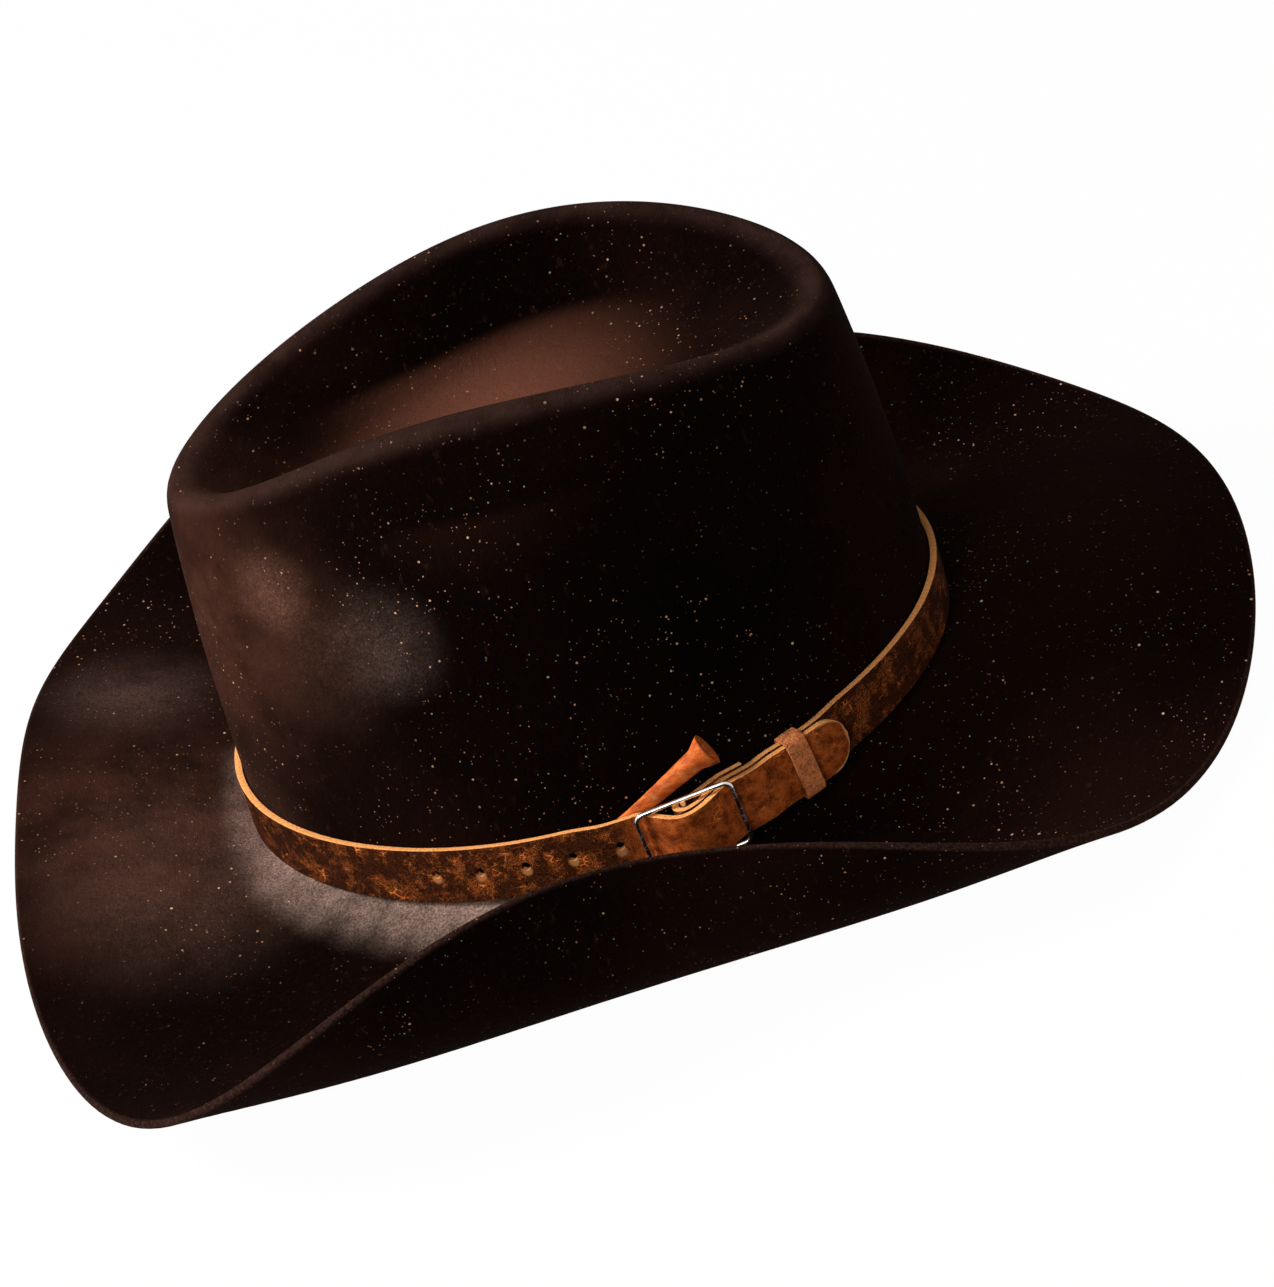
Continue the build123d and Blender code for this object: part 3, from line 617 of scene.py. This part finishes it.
RAW_EDGE = raw_edge_finish()
NICKEL = metal_finish()
SUEDE = suede_finish()
PEG_WOOD = peg_finish()
SWEATBAND_GRAIN = inner_leather_finish()
TAPE_CLOTH = cloth_finish("reed_tape_weave", (0.05, 0.03, 0.022), (0.09, 0.055, 0.04), 1500)
THREAD = cloth_finish("waxed_thread_twist", (0.20, 0.11, 0.055), (0.34, 0.21, 0.12), 2600)
COTTON = cloth_finish("cotton_thread_twist", (0.09, 0.055, 0.035), (0.16, 0.10, 0.07), 2600)
RIBBON = cloth_finish("ribbed_ribbon", (0.03, 0.018, 0.014), (0.05, 0.032, 0.026), 1700, 0.7)
SATIN = cloth_finish("lining_satin_weave", (0.15, 0.085, 0.05), (0.24, 0.15, 0.095), 1100, 0.42, 0.5)
CORD_TWIST = cloth_finish("piping_twist", (0.07, 0.04, 0.028), (0.12, 0.075, 0.05), 2200)


# ---- felt ---------------------------------------------------------------------------------------
FELT_COLUMNS = 288
FLOOR_ROWS = 12
# Length of the crease floor's middle line, as a share of the floor's own length.
SPINE = 0.62
PROFILES = [felt_profile(360 * column / FELT_COLUMNS) for column in range(FELT_COLUMNS)]
FELT_ROWS = FLOOR_ROWS + min(len(profile) for profile in PROFILES) - 1


def evened(line, count):
    """The same line with a set number of points, leaving out points next to its end."""
    while len(line) > count:
        line = line[:-len(line) // 4] + line[-len(line) // 4 + 1:]
    return line


FELT_POINTS = FELT_ROWS - FLOOR_ROWS + 1
PROFILES = [evened(profile, FELT_POINTS) for profile in PROFILES]


def on_felt(u, v):
    column = round(u * FELT_COLUMNS) % FELT_COLUMNS
    angle = 360 * column / FELT_COLUMNS
    row = round(v * FELT_ROWS)
    normal, base = base_normal(angle), base_point(angle)
    line = PROFILES[column]
    if row >= FLOOR_ROWS:
        point = line[row - FLOOR_ROWS]
        place = base + normal * point.x
        return Vector((place.x + BREAK_X, place.y, point.y + BREAK_Z)) * MM
    share = row / FLOOR_ROWS
    edge = base + normal * line[0].x
    spine = Vector((edge.x * SPINE, 0.0))
    place = spine.lerp(edge, share)
    height = DISH_HEIGHT + DISH_RISE * place.x
    return Vector((place.x + BREAK_X, place.y, height + BREAK_Z)) * MM


# Rows of the felt's grid, from the crease to the brim's edge, between which its crest lies; a painted
# highlight, with dust, runs along it.
CREST_ROWS = [row / FELT_ROWS for row in (33, 38, 41, 45)]
FELT_NAP = felt_finish()
felt = wrapped("felt_crown_and_brim", FELT_COLUMNS, FELT_ROWS, on_felt)
turned_over(felt)
walled(felt, FELT, -1.0, 0.8, 3)
finished(felt, "hat", "hat_felt", ["felt_body"], FELT_NAP)


# ---- hat band -----------------------------------------------------------------------------------
def angle_along(distance):
    """Angle at a distance along the base oval from the buckle's centre bar, towards the back."""
    step = 0.25 if distance > 0 else -0.25
    angle, run = BUCKLE_ANGLE, 0.0
    while True:
        leg = (base_point(angle + step) - base_point(angle)).length
        if run + leg >= abs(distance):
            return angle + step * (abs(distance) - run) / leg
        angle, run = angle + step, run + leg


def ease(share):
    share = min(max(share, 0), 1)
    return share * share * (3 - 2 * share)


LYING = STRAP_CLEAR + STRAP / 2
LAYER = STRAP + LAYER_CLEAR
FOLD_RADIUS = BAR_RADIUS + FOLD_CLEAR + STRAP / 2
KEPT = STRAP_CLEAR + KEEPER + KEEPER_CLEAR + STRAP / 2
LIFTED = 2 * PEG_CLEAR + PEG_TAIL_DEPTH + STRAP / 2
OVER = LYING + LAYER
END_BAR = BUCKLE_LENGTH / 2
LIFT_START = 2.5 * END_BAR
CROWN_FALL = END_BAR ** 2 / (2 * BASE_HALF_LENGTH ** 2 / BASE_HALF_WIDTH)
NEAR_BAR = LIFTED + STRAP / 2 + WIRE_CLEAR + WIRE_RADIUS - CROWN_FALL
FAR_BAR = OVER + LAYER + STRAP / 2 + WIRE_CLEAR + WIRE_RADIUS - CROWN_FALL
BAR_OUT = (NEAR_BAR + FAR_BAR) / 2
KEEPER_HALF = KEEPER_WIDTH / 2 + KEEPER_TRAVEL + 1


def return_level(run):
    top = BAR_OUT - FOLD_RADIUS
    return LYING + (top - LYING) * ease((END_BAR - run) / END_BAR)


def strap_level(run):
    if run < END_BAR:
        top = BAR_OUT + FOLD_RADIUS
        return OVER + (top - OVER) * ease((END_BAR - run) / END_BAR)
    kept_start, kept_end = KEEPER_PLACE - KEEPER_HALF, KEEPER_PLACE + KEEPER_HALF
    if run < kept_end:
        return OVER + (KEPT - OVER) * ease((run - RETURN_LENGTH) / (kept_start - RETURN_LENGTH))
    return KEPT + (LYING - KEPT) * ease((run - kept_end) / END_BAR)


def billet_level(run):
    if run >= 0:
        return strap_level(run) + LAYER
    top = BAR_OUT + FOLD_RADIUS + LAYER
    if run > -END_BAR:
        return LIFTED + (top - LIFTED) * ease((END_BAR + run) / (END_BAR - 1))
    return LYING + (LIFTED - LYING) * ease((LIFT_START + run) / END_BAR)


LAP = sum((base_point(a + 1) - base_point(a)).length for a in range(360))
# Steps along the strap: short ones where its layers cross, longer ones round the rest.
STRAP_STEP, PLAIN_STEP = 1.0, 2.5
LAYERS_END = 70


def strap_path():
    """Middle line of the whole strap: distance along the head and distance off the felt."""
    path = []
    run = RETURN_LENGTH
    while run > 0.5:
        path.append((run, return_level(run)))
        run -= STRAP_STEP
    for turn in range(-90, 91, 15):
        place = radians(turn)
        path.append((-FOLD_RADIUS * cos(place), BAR_OUT + FOLD_RADIUS * sin(place)))
    run = 1.0
    end = LAP - LIFT_START - 2
    while run < end:
        path.append((run, strap_level(run)))
        run += STRAP_STEP if run < LAYERS_END else PLAIN_STEP
    run = LAP - LIFT_START
    while run < LAP + TIP_PLACE:
        path.append((run, billet_level(run - LAP)))
        run += STRAP_STEP
    path.append((LAP + TIP_PLACE, billet_level(TIP_PLACE)))
    return path


PATH = strap_path()
PATH_LENGTHS = [0.0]
for before, after in zip(PATH, PATH[1:]):
    PATH_LENGTHS.append(PATH_LENGTHS[-1] + hypot(after[0] - before[0], after[1] - before[1]))
PATH_ANGLES = [angle_along(run) for run, level in PATH]
STRAP_ROWS = 14
STRAP_CURL, CURL_LENGTH = 0.10, 22


def on_strap(u, v):
    index = round(u * (len(PATH) - 1))
    run, level = PATH[index]
    left = PATH_LENGTHS[-1] - PATH_LENGTHS[index]
    half = STRAP_WIDTH / 2
    if left < TIP_RADIUS:
        half = half - TIP_RADIUS + sqrt(max(0.04, TIP_RADIUS ** 2 - (TIP_RADIUS - left) ** 2))
    height = STRAP_MIDDLE + (2 * v - 1) * half
    curl = STRAP_CURL * noise.noise(Vector((run / CURL_LENGTH, v * 2, 5)))
    return on_wall(PATH_ANGLES[index], height, level + curl)


def run_at(place):
    """Length along the strap, in centimetres, at a distance round the head."""
    last = len(PATH) - 1
    for index in range(last, 0, -1):
        if PATH[index - 1][0] <= place <= PATH[index][0]:
            share = (place - PATH[index - 1][0]) / (PATH[index][0] - PATH[index - 1][0])
            return (PATH_LENGTHS[index - 1] * (1 - share) + PATH_LENGTHS[index] * share) / 10


def round_to(start, end):
    """Length round the base oval between two angles."""
    steps = 200
    turns = [start + (end - start) * step / steps for step in range(steps + 1)]
    places = [base_point(turn) for turn in turns]
    return sum((after - before).length for before, after in zip(places, places[1:]))


SPLICE_ANGLE = 189.5
HOLE_RUNS = [run_at(LAP - HOLE_FIRST - HOLE_PITCH * hole) for hole in range(HOLE_COUNT)]
BILLET_START = run_at(LAP - END_BAR)
TIP_RUN = PATH_LENGTHS[-1] / 10
SPLICE_RUN = run_at(LAP - round_to(SPLICE_ANGLE, BUCKLE_ANGLE))
STRAP_LEATHER = strap_finish()
strap = wrapped("strap_leather", len(PATH) - 1, STRAP_ROWS, on_strap, merge=False)
for corner in strap.data.uv_layers.active.data:
    corner.uv = (PATH_LENGTHS[round(corner.uv.x * (len(PATH) - 1))] / 10, corner.uv.y * STRAP_WIDTH / 10)
walled(strap, STRAP, 0.0, 0.28, 2)
bpy.ops.object.select_all(action="DESELECT")
PUNCH_LENGTH = 16
PUNCH_START, PUNCH_END, PUNCH_MIDDLE = -2, 8, 4
for hole in range(HOLE_COUNT):
    run = LAP - HOLE_FIRST - HOLE_PITCH * hole
    angle = angle_along(run)
    start = on_wall(angle, STRAP_MIDDLE, PUNCH_START)
    outward = (on_wall(angle, STRAP_MIDDLE, PUNCH_END) - start).normalized()
    outward = Vector((outward.x, outward.y, tan(wall_lean(angle, STRAP_MIDDLE)))).normalized()
    bpy.ops.mesh.primitive_cylinder_add(radius=HOLE_RADIUS * MM, depth=PUNCH_LENGTH * MM, vertices=24,
                                        location=start + outward * PUNCH_MIDDLE * MM,
                                        rotation=outward.to_track_quat("Z", "Y").to_euler())
    punch = bpy.context.active_object
    apply(strap, "BOOLEAN", operation="DIFFERENCE", object=punch, solver="EXACT")
    bpy.data.objects.remove(punch, do_unlink=True)
finished(strap, "hat", "band_leather", ["band_strap"], STRAP_LEATHER, RAW_EDGE)

# The strap's faces that look up, down or out past its tip are raw leather.
tip_end = on_wall(PATH_ANGLES[-1], STRAP_MIDDLE, PATH[-1][1])
tip_out = base_normal(PATH_ANGLES[-1]).to_3d()
for face in strap.data.polygons:
    near_tip = (face.center - tip_end).length < STRAP_WIDTH * 0.6 * MM
    on_end = near_tip and abs(face.normal.dot(tip_out)) < 0.6
    face.material_index = 1 if on_end or abs(face.normal.z) > 0.42 else 0


# ---- keeper, peg and buckle ---------------------------------------------------------------------
def side_frame(run, out, height=STRAP_MIDDLE):
    """Place and directions on the crown's side: along the strap, up the side, straight out."""
    angle = angle_along(run)
    lean = wall_lean(angle, height)
    normal = base_normal(angle)
    along = Vector((-normal.y, normal.x, 0.0))
    outward = Vector((normal.x * cos(lean), normal.y * cos(lean), sin(lean)))
    return on_wall(angle, height, out), along, outward.cross(along), outward


keeper_at, keeper_along, *_ = side_frame(KEEPER_PLACE, KEPT + LAYER / 2)
keeper_level = Vector((keeper_along.y, -keeper_along.x, 0.0))
keeper_lean = wall_lean(angle_along(KEEPER_PLACE), STRAP_MIDDLE)
KEEPER_ROUND = 64


def on_keeper(u, v):
    """Round the keeper's loop by u, across its width by v, at the middle of the suede."""
    turn = 2 * pi * u
    half_height = STRAP_WIDTH / 2 + SIDE_CLEAR + KEEPER / 2
    half_depth = (LAYER + STRAP) / 2 + KEEPER_CLEAR + KEEPER / 2
    squared = 0.34
    x = half_depth * abs(cos(turn)) ** squared * (1 if cos(turn) > 0 else -1)
    y = half_height * abs(sin(turn)) ** squared * (1 if sin(turn) > 0 else -1)
    x -= tan(keeper_lean) * y
    across = (v - 0.5) * KEEPER_WIDTH + 0.18 * noise.noise(Vector((x, y, 3 + v)) / 4)
    return keeper_at + (keeper_level * x + Vector((0, 0, y)) + keeper_along * across) * MM


keeper = wrapped("keeper_loop", KEEPER_ROUND, 8, on_keeper)
walled(keeper, KEEPER, 0.0, 0.3, 2)
finished(keeper, "keeper", "keeper_suede", ["band_keeper"], SUEDE)

peg_at, peg_along, peg_up, peg_out = side_frame(-PEG_PLACE, PEG_OUT, STRAP_FOOT + STRAP_WIDTH)
lying = peg_along * sin(radians(PEG_LEAN)) + peg_up * cos(radians(PEG_LEAN))
peg_axis = lying * cos(radians(PEG_TILT)) + peg_out * sin(radians(PEG_TILT))
peg_side = peg_axis.cross(peg_out).normalized()
peg_face = peg_side.cross(peg_axis).normalized()
PEG_STATIONS = (
    (0.0, PEG_TAIL_WIDTH / 2, PEG_TAIL_DEPTH / 2),
    (PEG_TUCK, PEG_TAIL_WIDTH / 2, PEG_TAIL_DEPTH / 2),
    (PEG_LENGTH - PEG_HEAD_LENGTH, PEG_NECK_RADIUS, PEG_NECK_RADIUS * 0.9),
    (PEG_LENGTH, PEG_HEAD_RADIUS, PEG_HEAD_RADIUS * 0.9),
)
PEG_ROWS = 52
PEG_TAIL_ROWS, PEG_HOLLOW_ROWS = 2, 10
PEG_HOLLOW = 1.5


def peg_size(run):
    for (start, wide, deep), (end, wide_end, deep_end) in zip(PEG_STATIONS, PEG_STATIONS[1:]):
        if run <= end:
            share = (run - start) / (end - start)
            return wide + (wide_end - wide) * share, deep + (deep_end - deep) * share
    return PEG_STATIONS[-1][1:]


def on_peg(u, v):
    """Round the peg by u; along it by v, closing over its tail and its hollow head."""
    turn = 2 * pi * u
    row = v * PEG_ROWS
    side_rows = PEG_ROWS - PEG_TAIL_ROWS - PEG_HOLLOW_ROWS
    if row < PEG_TAIL_ROWS:
        run, shrink = 0.0, row / PEG_TAIL_ROWS
    elif row > PEG_TAIL_ROWS + side_rows:
        past = (row - PEG_TAIL_ROWS - side_rows) / PEG_HOLLOW_ROWS
        run, shrink = PEG_LENGTH - PEG_HOLLOW * ease((past - 0.2) * 2.2), 1 - past
    else:
        run, shrink = PEG_LENGTH * (row - PEG_TAIL_ROWS) / side_rows, 1.0
    wide, deep = peg_size(run)
    rough = 1 + 0.05 * noise.noise(Vector((cos(turn), sin(turn), run / 5)) * 1.4)
    side = peg_side * (wide * cos(turn) * shrink * rough)
    side = side + peg_face * (deep * sin(turn) * shrink * rough)
    return peg_at + (peg_axis * (run - PEG_TUCK) + side) * MM


peg = wrapped("peg_stub", 40, PEG_ROWS, on_peg)
finished(peg, "peg", "peg_wood", ["tucked_peg"], PEG_WOOD)

for node, finish in (
    ("buckle_frame", NICKEL),
    ("buckle_centre_bar", NICKEL),
    ("fold_stitches", THREAD),
    ("sweatband_stitching", COTTON),
    ("sweatband_seam_stitches", COTTON),
):
    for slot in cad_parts[node].material_slots:
        slot.material = finish


# ---- inside the crown ---------------------------------------------------------------------------
TAPE_CLEAR = 0.15
TAPE = 0.4
TAPE_FOOT, TAPE_TOP = -1.2, 6.8
TAPE_INSET = FELT + TAPE_CLEAR
SWEATBAND_CLEAR = 0.15
SWEATBAND = 1.2
SWEATBAND_FOOT, SWEATBAND_TOP = 1.8, 55.8
SWEATBAND_INSET = TAPE_INSET + TAPE + SWEATBAND_CLEAR
SEAM_START, SEAM_END = 0.2, 359.8
REED = 2.0
REED_COVER_RADIUS = 0.95
REED_COVER_HEIGHT = 0.5
LINING_CLEAR = 0.5
LINING = 0.4
LINING_FOOT, LINING_TOP = 56.3, 94.0
LINING_INSET = FELT + LINING_CLEAR
LINING_RIPPLE = 0.12
TIP_MIDDLE = 0.3
TIP_SAG = 1.2
PIPING_RADIUS = 0.5
RING_COLUMNS, RING_ROWS = 240, 12


def ring(name, foot, top, inset, columns, rows, start=0.0, end=360.0, ripple=0.0):
    """A band inside the crown, following its side, as a sheet without thickness."""
    def place(u, v):
        angle = start + (end - start) * u
        height = foot + (top - foot) * v
        wave = ripple * sin(radians(angle) * 70) * sin(pi * v) ** 0.5
        return on_wall(angle, height, -inset + wave)
    return wrapped(name, columns, rows, place, merge=end - start > 359.9)


def cord_ring(name, height, inset, radius):
    """A round cord lying inside the crown."""
    def place(u, v):
        turn = 2 * pi * v
        return on_wall(360 * u, height + radius * sin(turn), -inset + radius * cos(turn))
    return wrapped(name, RING_COLUMNS, RING_ROWS, place)


sweatband_middle = SWEATBAND_INSET + SWEATBAND / 2
sweatband = ring(
    "sweatband_strip", SWEATBAND_FOOT, SWEATBAND_TOP, sweatband_middle, RING_COLUMNS, RING_ROWS,
    SEAM_START, SEAM_END)
walled(sweatband, SWEATBAND, 0.0, 0.3)
finished(sweatband, "hat", "sweatband_leather", ["sweatband"], SWEATBAND_GRAIN)

tape = ring("reed_tape_strip", TAPE_FOOT, TAPE_TOP, TAPE_INSET + TAPE / 2, RING_COLUMNS, 4)
walled(tape, TAPE, 0.0, 0.08, 1)
finished(tape, "hat", "reed_tape_cloth", ["reed_tape"], TAPE_CLOTH)

reed_middle = SWEATBAND_INSET + REED / 3 + REED / 2
reed = cord_ring("reed_cover", REED_COVER_HEIGHT, reed_middle, REED_COVER_RADIUS)
finished(reed, "hat", "reed_plastic", ["sweatband_reed"], TAPE_CLOTH)


def round_inside(height, inset):
    """Length round the inside of the crown at a height."""
    places = [on_wall(angle, height, -inset) for angle in range(361)]
    return sum((after - before).length for before, after in zip(places, places[1:]))


lining_middle = LINING_INSET + LINING / 2
lining = ring(
    "lining_wall", LINING_FOOT, LINING_TOP, lining_middle, 2 * RING_COLUMNS, RING_ROWS,
    ripple=LINING_RIPPLE)
walled(lining, LINING, 0.0)
finished(lining, "hat", "lining_satin", ["lining_side"], SATIN)
lining_round = round_inside((LINING_FOOT + LINING_TOP) / 2, LINING_INSET)


def on_tip(u, v):
    """From the lining top's middle line at v = 0 to its seam at v = 1."""
    place = on_wall(360 * u, LINING_TOP + LINING, -LINING_INSET)
    middle = Vector((BREAK_X * MM + (place.x - BREAK_X * MM) * TIP_MIDDLE, 0, place.z))
    sag = TIP_SAG * sin(pi * v) * sin(pi * v)
    return middle.lerp(place, v) - Vector((0, 0, sag)) * MM


tip = wrapped("lining_top", 160, 14, on_tip)
walled(tip, LINING, 0.0)
finished(tip, "hat", "lining_satin", ["lining_tip"], SATIN)
tip_rim = [on_wall(angle, LINING_TOP, -LINING_INSET) for angle in range(0, 360, 90)]

piping_middle = LINING_INSET + LINING * 1.5 + PIPING_RADIUS
piping = cord_ring("lining_cord_ring", LINING_TOP - PIPING_RADIUS, piping_middle, PIPING_RADIUS)
finished(piping, "hat", "lining_cord", ["lining_piping"], CORD_TWIST)

BOW_PLACE = 9.0
BOW_CLEAR = 1.1
BOW_LOOP = 10.0
BOW_TAIL = 7.5
RIBBON_THICK = 0.25
bow_at = on_wall(0, BOW_PLACE, -(SWEATBAND_INSET + SWEATBAND + BOW_CLEAR))


def on_bow_loop(side):
    def place(u, v):
        turn = 2 * pi * u
        reach = BOW_LOOP / 2 * (1 - cos(turn))
        swing = 1.9 * sin(turn) * (reach / BOW_LOOP)
        across = (v - 0.5) * (2.4 + 2.6 * reach / BOW_LOOP)
        return bow_at + Vector((-0.5 + swing * 0.25, side * reach, across + swing * 0.5)) * MM
    return place


bow_parts = []
for index, side in enumerate((-1, 1)):
    part = wrapped("bow_loop_%d" % index, 32, 6, on_bow_loop(side))
    walled(part, RIBBON_THICK, 0.0)
    bow_parts.append(part)


def on_bow_knot(u, v):
    turn = 2 * pi * u
    return bow_at + Vector((-0.5 + 0.8 * cos(turn), 2.0 * (v - 0.5) * 1.6, 2.2 * sin(turn))) * MM


def on_bow_tail(side):
    def place(u, v):
        run = BOW_TAIL * u
        across = side * (0.8 + run * 0.55) + (v - 0.5) * 2.6
        return bow_at + Vector((-0.3, across, -1.2 - run * 0.75)) * MM
    return place


bow = wrapped("bow_ribbon", 24, 6, on_bow_knot)
walled(bow, RIBBON_THICK, 0.0)
for side in (-1, 1):
    part = wrapped("bow_tail", 10, 4, on_bow_tail(side), merge=False)
    walled(part, RIBBON_THICK, 0.0)
    bow_parts.append(part)
only(bow)
for part in bow_parts:
    part.select_set(True)
bpy.ops.object.join()
finished(bow, "hat", "bow_ribbon", ["sweatband_bow"], RIBBON)


# ---- floor, light and camera --------------------------------------------------------------------
PAPER_WHITE = 0.975
ROOM_LIGHT = 0.26


def seen_directly(nodes, links):
    """1 for what the camera sees, also in metal and through glass; 0 for light on the hat."""
    path = nodes.new("ShaderNodeLightPath")
    first = path.outputs["Is Camera Ray"]
    for other in ("Is Glossy Ray", "Is Transmission Ray"):
        either = nodes.new("ShaderNodeMath")
        either.operation = "MAXIMUM"
        links.new(first, either.inputs[0])
        links.new(path.outputs[other], either.inputs[1])
        first = either.outputs[0]
    return first


bpy.ops.mesh.primitive_plane_add(size=12, location=(0, 0, 0))
floor = bpy.context.active_object
floor.name = "floor"
paper = bpy.data.materials.new("pale_paper")
paper.use_nodes = True
nodes, links = paper.node_tree.nodes, paper.node_tree.links
nodes.clear()
diffuse = nodes.new("ShaderNodeBsdfDiffuse")
diffuse.inputs["Color"].default_value = (0.55, 0.55, 0.55, 1.0)
glow = nodes.new("ShaderNodeEmission")
seen = nodes.new("ShaderNodeMath")
seen.operation = "MULTIPLY"
seen.inputs[1].default_value = PAPER_WHITE
links.new(seen_directly(nodes, links), seen.inputs[0])
blend = nodes.new("ShaderNodeMixShader")
links.new(seen.outputs[0], blend.inputs[0])
links.new(diffuse.outputs[0], blend.inputs[1])
links.new(glow.outputs[0], blend.inputs[2])
sheet_out = nodes.new("ShaderNodeOutputMaterial")
links.new(blend.outputs[0], sheet_out.inputs["Surface"])
floor.data.materials.append(paper)

world = bpy.data.worlds.new("studio")
bpy.context.scene.world = world
world.use_nodes = True
nodes, links = world.node_tree.nodes, world.node_tree.links
room = nodes["Background"]
room.inputs["Color"].default_value = (1.0, 1.0, 1.0, 1.0)
room.inputs["Strength"].default_value = ROOM_LIGHT
white = nodes.new("ShaderNodeBackground")
blend = nodes.new("ShaderNodeMixShader")
links.new(seen_directly(nodes, links), blend.inputs[0])
links.new(room.outputs[0], blend.inputs[1])
links.new(white.outputs[0], blend.inputs[2])
links.new(blend.outputs[0], nodes["World Output"].inputs["Surface"])


def lamp(name, place, size, power, target=(0.0, 0.0, 0.07)):
    data = bpy.data.lights.new(name, "AREA")
    data.size = size
    data.energy = power
    light = bpy.data.objects.new(name, data)
    bpy.context.scene.collection.objects.link(light)
    light.location = place
    light.rotation_euler = (Vector(target) - Vector(place)).to_track_quat("-Z", "Y").to_euler()


lamp("key", (-1.2, -0.05, 1.2), 0.5, 42)
lamp("front", (-0.35, -1.35, 1.25), 0.8, 15)

AZIMUTH, ELEVATION, ROLL = 8.87, 34.75, 22.57
DISTANCE = 1.389
LENS = 130.5
SHIFT = (0.0309, 0.0425)
turn, rise, roll = radians(AZIMUTH), radians(ELEVATION), radians(ROLL)
back = Vector((sin(turn) * cos(rise), -cos(turn) * cos(rise), sin(rise)))
right = Vector((cos(turn), sin(turn), 0.0))
up = back.cross(right)
picture_right = right * cos(roll) - up * sin(roll)
picture_up = right * sin(roll) + up * cos(roll)
camera_data = bpy.data.cameras.new("camera")
camera_data.lens = LENS
camera_data.shift_x, camera_data.shift_y = SHIFT
camera = bpy.data.objects.new("camera", camera_data)
bpy.context.scene.collection.objects.link(camera)
aim = Vector((BREAK_X, 0.0, BREAK_Z)) * MM
axes = Matrix((picture_right, picture_up, back)).transposed()
camera.matrix_world = Matrix.Translation(aim + back * DISTANCE) @ axes.to_4x4()
bpy.context.scene.camera = camera
bpy.context.scene.view_settings.view_transform = "Standard"
